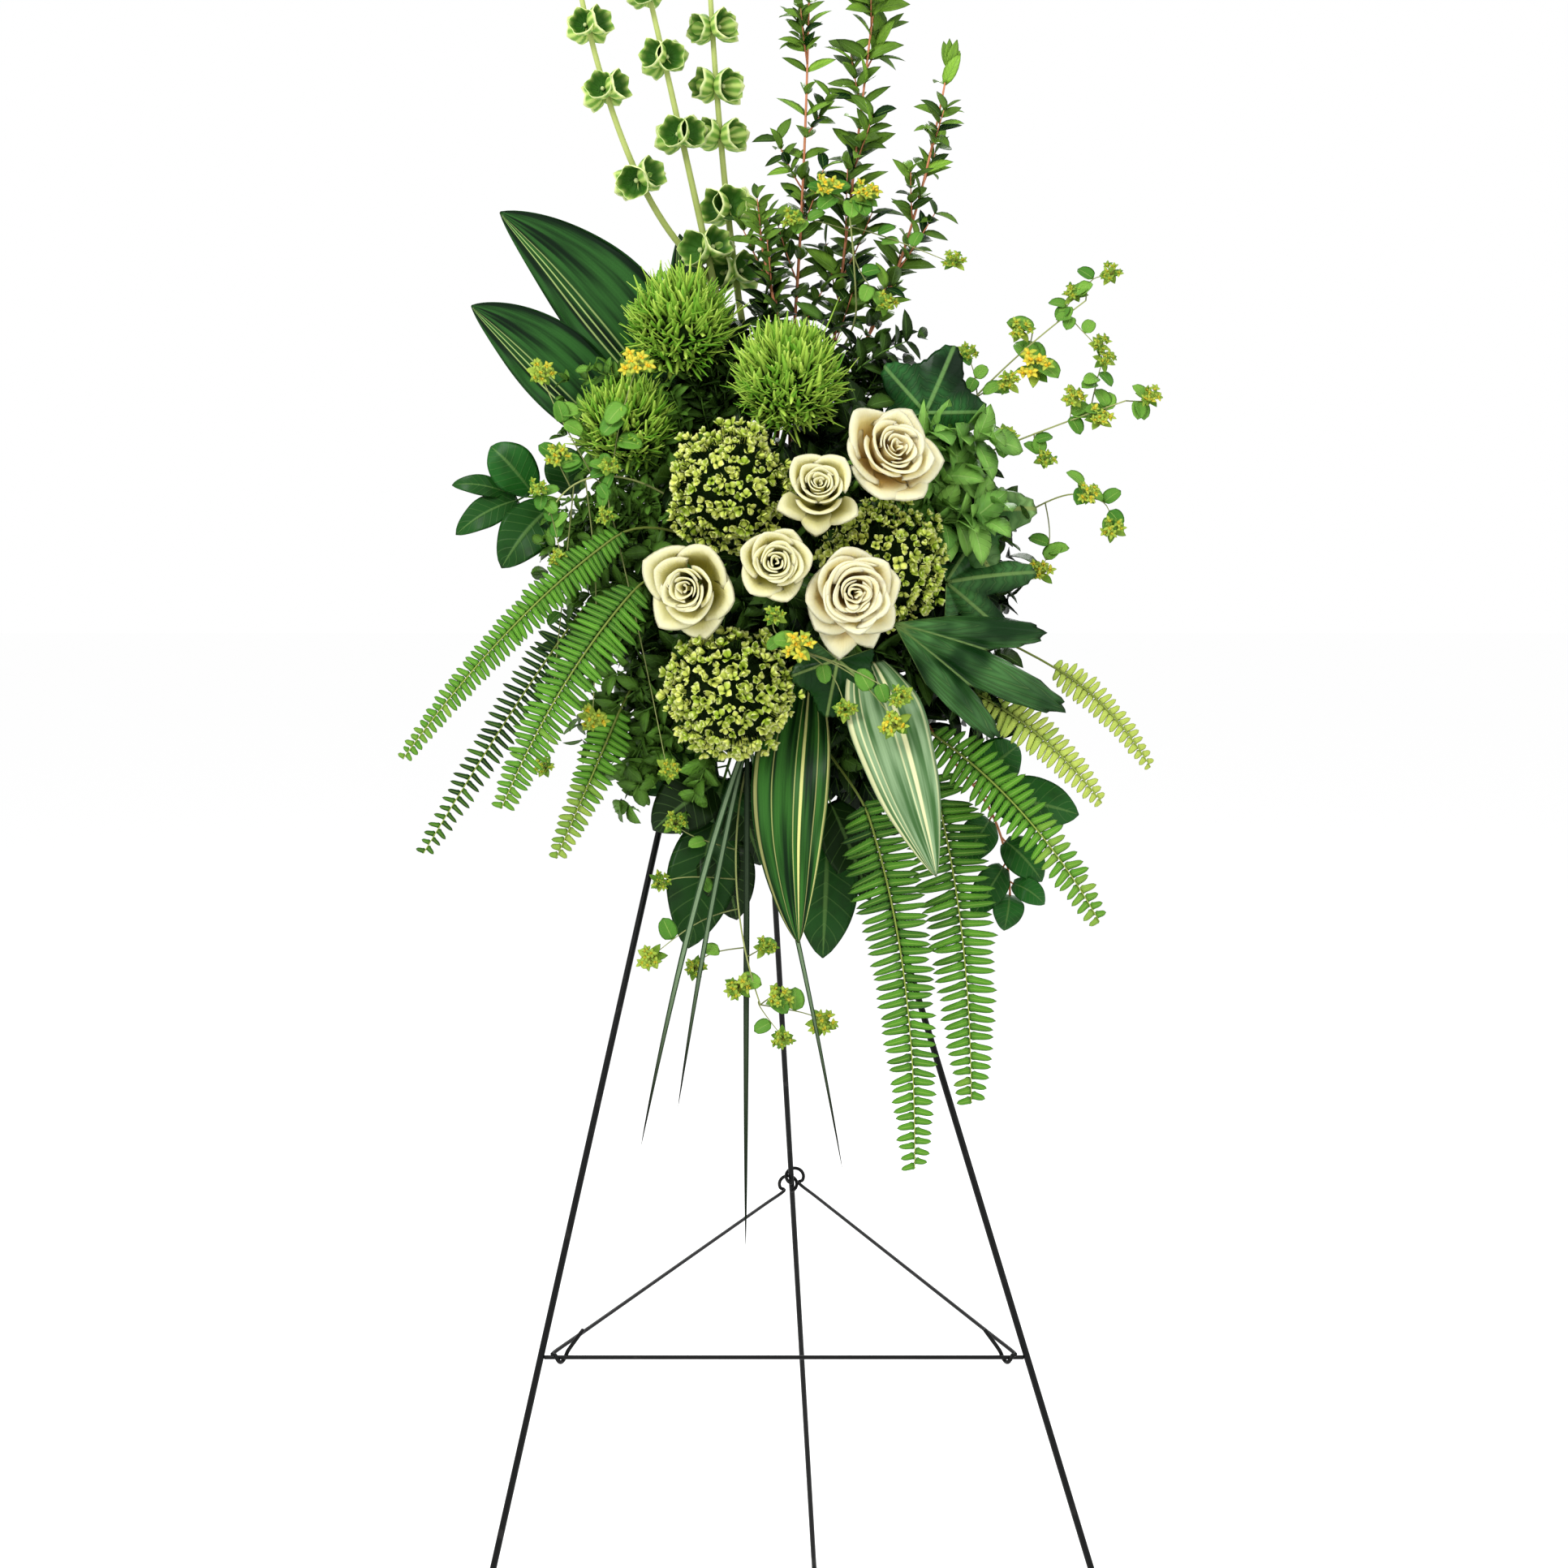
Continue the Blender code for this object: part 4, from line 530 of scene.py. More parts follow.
# Roses: five cream blooms, each a tight spiral heart inside broad outer petals that roll back at the lip
# and end in a soft point. They stand at five stages of opening, two of them with a peach heart.
ROSES = {
    # centre, direction, radius, heart: petals, width, height and ruffle, then the outer petals: where the
    # point lies as the viewer sees it in degrees, its distance and height in radii, half width in radians
    "rose_left": ((-0.101, -0.300, 1.236), (-0.30, -1.0, -0.05), 0.0370, (8, 0.46, 0.40, 0.30), (
        (100, 0.50, 0.42, 1.3), (215, 0.58, 0.36, 1.2), (-55, 0.60, 0.38, 1.2), (12, 0.72, 0.30, 1.1),
        (-75, 0.84, 0.20, 1.2), (150, 0.84, 0.16, 1.1), (148, 1.14, 0.06, 1.00), (56, 1.08, 0.10, 1.05),
        (-14, 1.08, -0.02, 1.00), (-72, 1.12, -0.10, 1.05), (232, 1.06, -0.04, 1.00))),
    "rose_middle": ((-0.025, -0.322, 1.258), (0.0, -1.0, 0.05), 0.0290, (9, 0.54, 0.48, 0.20), (
        (-70, 0.66, 0.44, 1.3), (60, 0.66, 0.46, 1.3), (185, 0.70, 0.40, 1.2), (-20, 0.84, 0.34, 1.2),
        (112, 0.90, 0.28, 1.2), (161, 1.04, 0.16, 1.05), (9, 1.04, 0.16, 1.05), (230, 1.12, 0.02, 1.00),
        (-74, 1.10, 0.00, 1.10), (62, 1.00, 0.08, 1.05))),
    "rose_right": ((0.042, -0.310, 1.232), (0.15, -1.0, -0.10), 0.0385, (15, 0.66, 0.42, 0.9), (
        (95, 0.76, 0.36, 1.1), (-15, 0.80, 0.34, 1.1), (205, 0.80, 0.36, 1.1), (-85, 0.86, 0.26, 1.1),
        (140, 0.94, 0.22, 1.0), (45, 0.94, 0.22, 1.0), (188, 1.06, 0.10, 0.95), (108, 1.02, 0.10, 1.0),
        (15, 1.02, 0.08, 1.0), (-42, 1.06, 0.00, 0.95), (-99, 1.36, -0.18, 0.72), (-68, 1.18, -0.14, 0.72),
        (225, 1.08, -0.10, 0.9))),
    "rose_upper": ((0.013, -0.305, 1.319), (0.0, -0.9, 0.45), 0.0290, (8, 0.46, 0.62, 0.20), (
        (-80, 0.60, 0.58, 1.3), (40, 0.62, 0.60, 1.3), (140, 0.68, 0.60, 1.2), (-30, 0.76, 0.52, 1.1),
        (205, 0.80, 0.50, 1.05), (42, 1.00, 0.60, 1.15), (138, 1.00, 0.60, 1.15), (-90, 0.94, 0.20, 1.2),
        (204, 1.20, -0.14, 0.72), (-34, 1.20, -0.12, 0.72), (-95, 1.14, -0.22, 0.90))),
    "rose_top": ((0.076, -0.276, 1.354), (0.35, -0.9, 0.35), 0.0390, (9, 0.52, 0.42, 0.5), (
        (20, 0.66, 0.38, 1.2), (150, 0.70, 0.42, 1.2), (-70, 0.72, 0.36, 1.2), (85, 0.80, 0.34, 1.15),
        (215, 0.84, 0.30, 1.1), (-20, 0.88, 0.24, 1.1), (140, 1.16, 0.14, 0.95), (188, 1.06, 0.02, 1.0),
        (-112, 1.10, -0.06, 1.0), (-62, 1.12, -0.04, 0.95), (-12, 1.14, 0.02, 0.95), (60, 1.04, 0.06, 1.0))),
}
PETAL_THICKNESS, ROSE_STEM = 0.0009, 0.0028


def rose_finish(name, lip, face, base):
    """Velvet petals: olive deep in the cup, partly their own green foot and partly painted shade, cream on
    the face, ivory at the rolled lip, with fine veins.
    """
    finish = Finish(name, Specular_IOR_Level=0.12, Subsurface_Weight=0.3, Subsurface_Scale=1.0,
                    Subsurface_Radius=(0.006, 0.005, 0.002))
    along, tone = finish.along(), finish.tone()
    # The olive at the petal foot is partly the petal's own green and partly painted shade deep in the cup.
    body = finish.mix(finish.step(along + (tone - 0.5) * 0.14, 0.30, 0.72), base, face)
    body = finish.mix(finish.step(along + finish.noise(90.0) * 0.10, 0.74, 1.00), body, lip)
    body = finish.mix(finish.step(finish.noise(44.0, 3.0), 0.50, 0.75) * 0.22, body, base)
    veins = finish.lines(finish.across() + finish.noise(40.0) * 0.03, 26.0)
    finish.wear(Base_Color=body, Roughness=0.52 + tone * 0.12)
    return finish.relief(veins * 0.4 + finish.noise(240.0, 3.0), 0.0003)


cream_rose = rose_finish("cream_rose_petal", colour(228, 222, 174), colour(216, 209, 142),
                         colour(126, 120, 42))
peach_rose = rose_finish("peach_cream_rose_petal", colour(232, 226, 184), colour(228, 212, 156),
                         colour(196, 160, 88))


def rose_petals(centre, direction, radius, heart, outer, seed):
    """In the plane of its own middle a petal rises on a quadratic curve from the foot by the belly to the
    lip, then rolls back on an arc. Across, it follows the circle round the axis. Its point stands out, and
    both sides curl further back. Heart petals turn by 137.5 degrees each and wind in from edge to edge."""
    draw = np.random.default_rng(seed)
    forward, side, top = axes_of(np.array(direction, float))
    count, width, high, ruffle = heart
    share = np.linspace(0, 1, count)
    turn = np.radians(np.concatenate([180 - 137.5 * np.arange(count), [180 - petal[0] for petal in outer]]))
    reach = np.concatenate([0.05 + (width - 0.05) * share ** 0.85, [petal[1] for petal in outer]])
    height = np.concatenate([high * (0.92 + 0.10 * np.sin(share * 3.1)), [petal[2] for petal in outer]])
    half = np.concatenate([2.0 - 0.7 * share, [petal[3] for petal in outer]])
    is_outer = np.concatenate([np.zeros(count), np.ones(len(outer))])
    turn, reach, height, half, is_outer = (v[:, None, None] for v in (turn, reach, height, half, is_outer))
    total = len(turn)
    t, s = np.linspace(0, 1, 19)[None, :, None], np.linspace(-1, 1, 17)[None, None]
    point = (1 - np.abs(s)) ** 1.3
    phase = draw.uniform(0, 6.3, (total, 1, 1))
    wave = (ruffle * np.sin(3.3 * s + phase) + (0.35 + 0.4 * ruffle) * np.sin(6.1 * s - 2 * phase)) * t ** 2
    openness = np.clip((reach - 0.3) / 0.8, 0, 1.2)
    roll_length = 0.11 + 0.24 * openness * (0.35 + 0.95 * point * is_outer)
    wind = 0.13 * (1 - is_outer) * s * (0.4 + reach) + 0.05 * is_outer * s
    lip_out = np.maximum(reach - roll_length * 0.55 * is_outer, 0.03) * (1 + wind)
    lip_out = lip_out * (1 - (0.05 + 0.21 * is_outer) * np.abs(s) ** (1.7 - 0.65 * is_outer)
                         + 0.05 * is_outer * point ** 3)
    lip_up = height - (0.03 + 0.10 * openness) * np.abs(s) ** 2.0 + 0.02 * draw.uniform(-1, 1, (total, 1, 1))
    belly_out = lip_out * (0.78 - 0.06 * is_outer) + 0.03 + 0.13 * openness
    belly_up = -0.22 + 0.20 * (1 - openness) + 0 * s
    u = np.clip(t / 0.72, 0, 1)
    out = (1 - u) ** 2 * 0.06 + 2 * u * (1 - u) * belly_out + u ** 2 * lip_out
    up = (1 - u) ** 2 * -0.62 + 2 * u * (1 - u) * belly_up + u ** 2 * lip_up
    heading = np.arctan2(lip_up - belly_up, lip_out - belly_out)
    curl = (0.9 + 1.1 * openness) * (1.20 - 0.70 * point * is_outer)
    arc = roll_length / curl
    bend = curl * np.clip((t - 0.72) / 0.28, 0, 1)
    out = out + arc * (np.sin(heading) - np.sin(heading - bend))
    up = up + arc * (np.cos(heading - bend) - np.cos(heading))
    out, up = out + (0.036 - 0.016 * is_outer) * wave, up + (0.056 - 0.030 * is_outer) * wave
    angle = turn + s * half * (0.40 + 0.60 * t ** 0.6)
    out = np.maximum(out, 0.008) * radius
    middle = (np.array(centre) + forward * (radius * up)[..., None]
              + side * (out * np.cos(angle))[..., None] + top * (out * np.sin(angle))[..., None])
    return blades(middle, PETAL_THICKNESS), draw.uniform(0, 1, total)


def calyx(centre, direction, radius):
    """A round seed cup under the bloom, and five narrow sepals that arch out of it."""
    forward, side, top = axes_of(np.array(direction, float))
    foot = np.array(centre) - forward * radius * 0.62
    cup = tube(foot + forward * radius * np.linspace(-0.30, 0.06, 7)[:, None],
               radius * np.array((0.09, 0.14, 0.19, 0.22, 0.22, 0.18, 0.10)), 12)
    turn = (np.arange(5) * 2 * math.pi / 5)[:, None]
    outward = side * np.cos(turn) + top * np.sin(turn)
    sepals = leaves(foot + outward * radius * 0.1, outward + forward * 0.5, forward - outward * 0.5,
                    radius * 0.85, radius * 0.26, lambda t: (1 - t) ** 0.7 * (0.5 + t), curl=0.9)
    return [(cup, 0.4), (sepals, 0.7)]


for seed, (rose_name, (centre, direction, radius, heart, outer)) in enumerate(ROSES.items()):
    finish = peach_rose if rose_name in ("rose_right", "rose_top") else cream_rose
    make(rose_name + "_petals", [rose_petals(centre, direction, radius, heart, outer, seed)], finish,
         "cream_petals", rose_name)
    neck = np.array(centre) - unit(direction) * radius * 0.42
    stalk = tube(stem_path(neck, direction)[:-1], ROSE_STEM, 10)
    make(rose_name + "_stem", [(stalk, 0.3)] + calyx(centre, direction, radius), green_stem, "myrtle_leaf")


# Viburnum: domed heads of small lime florets, each four spoon-shaped petals round a darker eye that is partly
# green and partly painted shade, set thickly on green stalks round a near-black core of painted shade.
VIBURNUMS = {
    # centre, direction, radius, depth, florets, petal length
    "viburnum_upper": ((-0.064, -0.258, 1.325), (-0.15, -1.0, 0.2), 0.053, 0.052, 300, 0.0078),
    "viburnum_lower": ((-0.066, -0.277, 1.141), (-0.05, -1.0, -0.35), 0.053, 0.060, 290, 0.0086),
    "viburnum_right": ((0.072, -0.236, 1.257), (0.35, -1.0, 0.05), 0.054, 0.052, 310, 0.0078),
}
PETALS, FLORET_THICKNESS, FLORET_STALK, VIBURNUM_STEM = 4, 0.0004, 0.0006, 0.0028

lime_floret = Finish("lime_floret", Specular_IOR_Level=0.15)
along, tone = lime_floret.along(), lime_floret.tone()
petal_colour = lime_floret.mix(tone, colour(156, 184, 48), colour(222, 230, 112))
# Darker green at the petal roots: partly the floret's green eye, partly painted shade in its cup.
petal_colour = lime_floret.mix(lime_floret.step(along, 0.36, 0.0), petal_colour, colour(74, 106, 16))
# Cream towards the petal tips: partly the petals' cream rims, partly a painted highlight.
petal_colour = lime_floret.mix(lime_floret.step(along, 0.66, 1.0) * 0.8, petal_colour, colour(236, 238, 172))
lime_floret.wear(Base_Color=petal_colour, Roughness=0.55 + tone * 0.15)
lime_floret.relief(lime_floret.noise(900.0), 0.0002)

# A near-black ball inside each viburnum and dianthus head: painted shade in the gaps between florets and
# needles.
shade_core = Finish("painted_shade_core", Specular_IOR_Level=0.05)
shade_core.wear(Base_Color=shade_core.mix(shade_core.noise(160.0, 3.0), colour(4, 12, 2), colour(22, 40, 8)),
               Roughness=0.7 + shade_core.noise(90.0) * 0.2)
shade_core.relief(shade_core.noise(300.0, 4.0), 0.002)


def golden_spots(count, cap):
    """Directions spread evenly over a sphere within the cap angle of +Z: a golden spiral."""
    index = np.arange(count)
    z = 1 - (1 - math.cos(cap)) * (index + 0.5) / count
    ring, turn = np.sqrt(1 - z * z), index * math.pi * (3 - math.sqrt(5))
    return np.stack([ring * np.cos(turn), ring * np.sin(turn), z], -1)


def knob(centre, direction, radius, depth, lumps=0.05, rows=16, around=24):
    """A lumpy ball: a sphere whose radius swells and shrinks by two waves over its angles."""
    forward, side, top = axes_of(np.array(direction, float))
    polar, turn = np.linspace(0, math.pi, rows)[:, None], np.arange(around)[None] * 2 * math.pi / around
    swell = 1 + lumps * np.sin(5 * turn + 3 * polar) * np.sin(4 * polar)
    skin = (np.array(centre) + forward * (np.cos(polar) * swell * depth)[..., None]
            + side * (np.sin(polar) * np.cos(turn) * swell * radius)[..., None]
            + top * (np.sin(polar) * np.sin(turn) * swell * radius)[..., None])
    return rounds(skin[None])


def spoon(t):
    """Half-width share of a floret petal: narrow at the root, widest past the middle, round at the tip."""
    return np.sqrt(np.clip(1 - (1.7 * t - 0.72) ** 4, 0, 1)) * (0.35 + 0.65 * np.minimum(1, 1.9 * t))


def florets(spots, outward, length, draw):
    """Petals in a ring round each spot, a quarter of a turn apart, raised like a shallow cup."""
    count = len(spots)
    forward, side, top = (np.repeat(v, PETALS, axis=0) for v in axes_of(outward))
    turn = np.tile(np.arange(PETALS) * 2 * math.pi / PETALS, count)
    turn = turn + np.repeat(draw.uniform(0, 6.3, count), PETALS)
    turn = (turn + draw.normal(0, 0.12, count * PETALS))[:, None]
    away = side * np.cos(turn) + top * np.sin(turn)
    way = away + forward * draw.uniform(-0.1, 1.5, (count * PETALS, 1))
    size = length * np.repeat(draw.uniform(0.7, 1.15, count), PETALS)
    size = size * draw.uniform(0.85, 1.1, count * PETALS)
    roots = np.repeat(spots, PETALS, axis=0) + away * 0.0004
    skins = leaves(roots, way, forward - away * 0.4, size, size * 0.78, spoon, rows=5, columns=3, curl=-0.6,
                   cup=0.6, thickness=FLORET_THICKNESS)
    tones = np.repeat(draw.uniform(0, 1, count), PETALS) + draw.normal(0, 0.1, count * PETALS)
    return skins, np.clip(tones, 0, 1)


def rays(starts, ends, radius):
    """Straight stalks, one for each pair of ends: a five-sided profile at four places along the line."""
    side, top = axes_of(ends - starts)[1:]
    t, turn = np.array((0, 0, 1, 1)), np.arange(5) * 2 * math.pi / 5
    width = np.array((0, 1, 0.8, 0))[None, :, None, None] * radius
    spine = starts[:, None] * (1 - t)[None, :, None] + ends[:, None] * t[None, :, None]
    ring = side[:, None] * np.cos(turn)[None, :, None] + top[:, None] * np.sin(turn)[None, :, None]
    return rounds(spine[:, :, None] + ring[:, None] * width)


for seed, (head_name, (centre, direction, radius, depth, count, size)) in enumerate(VIBURNUMS.items()):
    draw = np.random.default_rng(seed + 40)
    forward, side, top = axes_of(np.array(direction, float))
    spots = golden_spots(count, math.radians(122)) + draw.normal(0, 0.035, (count, 3))
    lumpy = 1 + 0.11 * np.sin(spots[:, 0] * 6 + seed) * np.cos(spots[:, 1] * 5)
    lumpy = lumpy + draw.uniform(-0.20, 0.07, count)
    outward = (side * spots[:, :1] * radius + top * spots[:, 1:2] * radius + forward * spots[:, 2:] * depth)
    heads = np.array(centre) + outward * lumpy[:, None]
    tilt = unit(outward) + draw.normal(0, 0.42, (count, 3))
    make(head_name + "_florets", [florets(heads, tilt, size, draw)], lime_floret, "lime_florets", head_name)
    stalks = rays(np.array(centre) + outward * 0.45, heads - unit(tilt) * size * 0.2, FLORET_STALK)
    neck = np.array(centre) - forward * depth * 0.6
    make(head_name + "_core", [(knob(centre, direction, radius * 0.74, depth * 0.74), 0.5), (stalks, 0.5)],
         shade_core, "lime_florets")
    make(head_name + "_stem", [(tube(stem_path(neck, direction), VIBURNUM_STEM), 0.4)], green_stem,
         "myrtle_leaf")


# Green dianthus: round tufts of fine soft needles that all sweep upwards, bright at the tips, with painted
# shade darkening their roots and a near-black core between them. Each tuft grows on one stem, which goes into
# the foam.
DIANTHUS_HEADS = {
    # centre, direction, radius, needles
    "dianthus_left": ((-0.114, -0.185, 1.470), (-0.2, -0.6, 0.8), 0.050, 1000),
    "dianthus_middle": ((-0.014, -0.232, 1.418), (0.0, -0.7, 0.7), 0.050, 1150),
    "dianthus_back": ((-0.163, -0.200, 1.379), (-0.5, -0.7, 0.4), 0.044, 800),
}
DIANTHUS_STEM, NEEDLE_RADII = 0.0026, (0.0013, 0.0024)

needle_finish = Finish("green_needle", Specular_IOR_Level=0.15)
along, tone = needle_finish.along(), needle_finish.tone()
needle_colour = needle_finish.mix(tone, colour(92, 150, 32), colour(172, 202, 78))
# Darker towards the root of each needle: painted shade deep inside the tuft.
needle_colour = needle_finish.mix(needle_finish.step(along, 0.62, 0.10), needle_colour, colour(34, 74, 14))
needle_colour = needle_finish.mix(needle_finish.step(along + tone * 0.3, 0.90, 1.2) * 0.7, needle_colour,
                                  colour(204, 226, 120))
needle_finish.wear(Base_Color=needle_colour, Roughness=0.55 + tone * 0.2)


def needles(roots, direction, sweep, length, radius):
    """Flat tapered spikes: a four-sided profile, twice as broad as deep, on a parabola that leaves along the
    direction and sweeps towards the second one."""
    t = np.array((0, 0.02, 0.35, 0.75, 1.0, 1.0))[None, :, None]
    spine = roots[:, None] + length[:, None, None] * (direction[:, None] * t + sweep[:, None] * t ** 2)
    side, top = axes_of(direction + sweep)[1:]
    width = (np.array((0, 0.7, 0.9, 1.0, 0.35, 0))[None, :] * radius[:, None])[:, :, None, None]
    turn = np.arange(4) * math.pi / 2
    ring = (side[:, None] * np.cos(turn)[None, :, None] + top[:, None] * 0.4 * np.sin(turn)[None, :, None])
    return rounds(spine[:, :, None] + ring[:, None] * width)


for seed, (head_name, (centre, direction, radius, count)) in enumerate(DIANTHUS_HEADS.items()):
    draw = np.random.default_rng(seed + 70)
    forward, side, top = axes_of(np.array(direction, float))
    spots = unit(golden_spots(count, math.radians(130)) + draw.normal(0, 0.04, (count, 3)))
    outward = side * spots[:, :1] + top * spots[:, 1:2] + forward * spots[:, 2:]
    lumpy = 1 + 0.08 * np.sin(spots[:, 0] * 8 + seed) * np.cos(spots[:, 1] * 7 - seed)
    roots = np.array(centre) + outward * radius * 0.66 * lumpy[:, None]
    lean = unit(outward + draw.normal(0, 0.42, (count, 3)) + (0, 0, 0.25))
    sweep = np.array((0, 0, 0.40)) + draw.normal(0, 0.35, (count, 3))
    length = radius * 0.36 * lumpy * draw.uniform(0.70, 1.15, count)
    tuft = needles(roots, lean, sweep, length, draw.uniform(*NEEDLE_RADII, count))
    make(head_name + "_needles", [(tuft, draw.uniform(0, 1, count))], needle_finish, "green_needles",
         head_name)
    make(head_name + "_core", [(knob(centre, direction, radius * 0.68, radius * 0.68, 0.08), 0.5)], shade_core,
         "green_needles")
    neck = np.array(centre) - forward * radius * 0.5
    make(head_name + "_stem", [(tube(stem_path(neck, direction), DIANTHUS_STEM), 0.5)], green_stem,
         "myrtle_leaf")


# Aspidistra: long lance-shaped leaves, striped cream along their length. Three stand behind the blooms
# at the upper left, and two hang in front under the roses.
BLADES = {
    # start, middle, end, facing, width, finish
    "aspidistra_high": ((-0.118, -0.125, 1.402), (-0.190, -0.122, 1.508), (-0.285, -0.140, 1.586),
                        (0.15, -1.0, -0.1), 0.094, "dark"),
    "aspidistra_low": ((-0.165, -0.150, 1.366), (-0.236, -0.150, 1.446), (-0.309, -0.170, 1.496),
                       (0.15, -1.0, -0.1), 0.076, "dark"),
    "aspidistra_behind": ((-0.095, -0.120, 1.445), (-0.108, -0.105, 1.510), (-0.118, -0.100, 1.572),
                          (0.0, -1.0, 0.0), 0.040, "dark"),
    "aspidistra_hanging": ((0.002, -0.225, 1.150), (-0.013, -0.296, 1.044), (-0.005, -0.310, 0.920),
                           (0.0, -1.0, 0.25), 0.070, "centre"),
    "aspidistra_front": ((0.058, -0.268, 1.168), (0.080, -0.322, 1.092), (0.116, -0.330, 0.983),
                         (0.1, -1.0, 0.3), 0.070, "streaked"),
}
BLADE_THICKNESS, BLADE_STALK = 0.0007, 0.0020


def striped_finish(name, stripes, green, light, pale, shine):
    """A leaf with fine ribs along it. Each stripe is its place across, its width and its strength."""
    finish = Finish(name, Coat_Weight=shine, Coat_Roughness=0.3, Specular_IOR_Level=0.05)
    across = finish.across() + (finish.noise(9.0) - 0.5) * 0.03
    ribs = finish.lines(across, 30.0)
    stretched = finish.node("ShaderNodeCombineXYZ", {}, {0: across * 8.0, 1: finish.along() * 1.6})
    broad = finish.noise(1.0, 2.0, stretched)
    body = finish.mix(finish.step(broad, 0.36, 0.64), green, light)
    body = finish.mix(finish.step(ribs, 0.0, 0.5) * 0.10, body, green)
    for place, width, strength in stripes:
        edge = finish.step(abs(across - place), width, width * 0.5)
        body = finish.mix(edge * (0.55 + broad * 0.7) * strength, body, pale)
    finish.wear(Base_Color=body, Roughness=0.34 + finish.noise(60.0) * 0.16)
    return finish.relief(ribs, 0.0001)


STRIPED = {
    "dark": striped_finish(
        "dark_aspidistra", ((0.20, 0.012, 0.8), (0.27, 0.010, 0.9), (0.34, 0.012, 0.6)),
        colour(4, 26, 7), colour(44, 92, 36), colour(176, 198, 120), 0.14),
    "centre": striped_finish(
        "striped_aspidistra", ((0.03, 0.020, 0.8), (0.17, 0.010, 0.4), (0.36, 0.026, 1.0),
                               (0.45, 0.010, 0.5), (0.74, 0.010, 0.4), (0.95, 0.03, 0.4)),
        colour(5, 30, 7), colour(48, 98, 34), colour(212, 212, 132), 0.08),
    "streaked": striped_finish(
        "streaked_aspidistra", ((0.04, 0.02, 0.4), (0.34, 0.040, 1.0), (0.44, 0.016, 0.6),
                                (0.78, 0.014, 0.5), (0.86, 0.016, 0.8), (0.96, 0.040, 0.9)),
        colour(58, 96, 48), colour(136, 164, 122), colour(222, 222, 170), 0.15),
}


def through(start, middle, end, t):
    """Points and directions on the parabola that passes the three points at t = 0, 0.5 and 1."""
    start, middle, end = (np.array(v, float) for v in (start, middle, end))
    pull, t = 2 * middle - (start + end) / 2, np.asarray(t, float)[..., None]
    return ((1 - t) ** 2 * start + 2 * t * (1 - t) * pull + t ** 2 * end,
            2 * (1 - t) * (pull - start) + 2 * t * (end - pull))


def lance(t):
    """Half-width share of a long leaf: the sine of the way along, narrow at the foot, then a long point."""
    return np.sin(math.pi * np.clip(0.06 + 0.94 * t, 0, 1) ** 0.85) ** 0.75


def ribbon(start, middle, end, facing, width, profile=lance, cup=0.16, wave=0.0, rows=48, columns=17):
    """One leaf along the parabola. Its two halves lift from the midrib by cup, and its edges wave."""
    t, s = np.linspace(0, 1, rows), np.linspace(-1, 1, columns)[None, :, None]
    point, direction = through(start, middle, end, t)
    across = unit(np.cross(unit(direction), facing))
    outward = np.cross(across, unit(direction))
    half = (width / 2 * np.maximum(profile(t), 0.02))[:, None, None]
    lift = cup * np.abs(s) ** 0.9 + wave * np.sin(t * 15)[:, None, None] * np.abs(s) ** 3 * np.sign(s)
    middle_surface = point[:, None] + across[:, None] * s * half + outward[:, None] * half * lift
    return blades(middle_surface[None], BLADE_THICKNESS)


for blade_name, (start, middle, end, facing, width, look) in BLADES.items():
    foot, arrival = through(start, middle, end, 0.06)
    make(blade_name + "_leaf", [(ribbon(start, middle, end, facing, width, wave=0.10), 0.5)], STRIPED[look],
         "striped_leaf", blade_name)
    stalk = tube(stem_path(foot, arrival), BLADE_STALK)
    make(blade_name + "_stalk", [(stalk, 0.3)], green_stem, "striped_leaf")


# Fatsia and ivy: thick dark lobed leaves with a wet shine and pale veins that fan out from the stalk.
# Each stands on its own stalk in the foam and lies out over the greenery, the largest to the right.
LOBED = {
    # junction, ahead, facing, reach, lobes, notch, fullness of the lobes, spread, light or dark: partly the
    # leaf's own green, partly painted light and shade for how lit it stands
    "fatsia_top": ((0.112, -0.205, 1.395), (0.35, -0.1, 0.8), (0.1, -1.0, 0.1),
                   0.066, 5, 0.72, 1.3, 132, 0.10),
    "fatsia_side": ((0.140, -0.185, 1.305), (1.0, -0.05, 0.08), (0.1, -1.0, 0.3),
                    0.078, 5, 0.66, 1.0, 125, 1.6),
    "fatsia_dark": ((0.132, -0.200, 1.240), (1.0, -0.1, 0.16), (0.1, -1.0, 0.4),
                    0.084, 5, 0.50, 0.8, 100, 0.5),
    "fatsia_large": ((0.080, -0.262, 1.204), (0.91, -0.10, -0.41), (0.0, -1.0, 0.35),
                     0.174, 4, 0.56, 0.70, 36, 0.62),
    "ivy_lower": ((0.030, -0.290, 1.172), (-0.2, -0.2, -1.0), (0.0, -1.0, 0.3),
                  0.052, 5, 0.78, 1.0, 120, 0.90),
}
LOBED_THICKNESS, LOBED_STALK = 0.0008, 0.0018


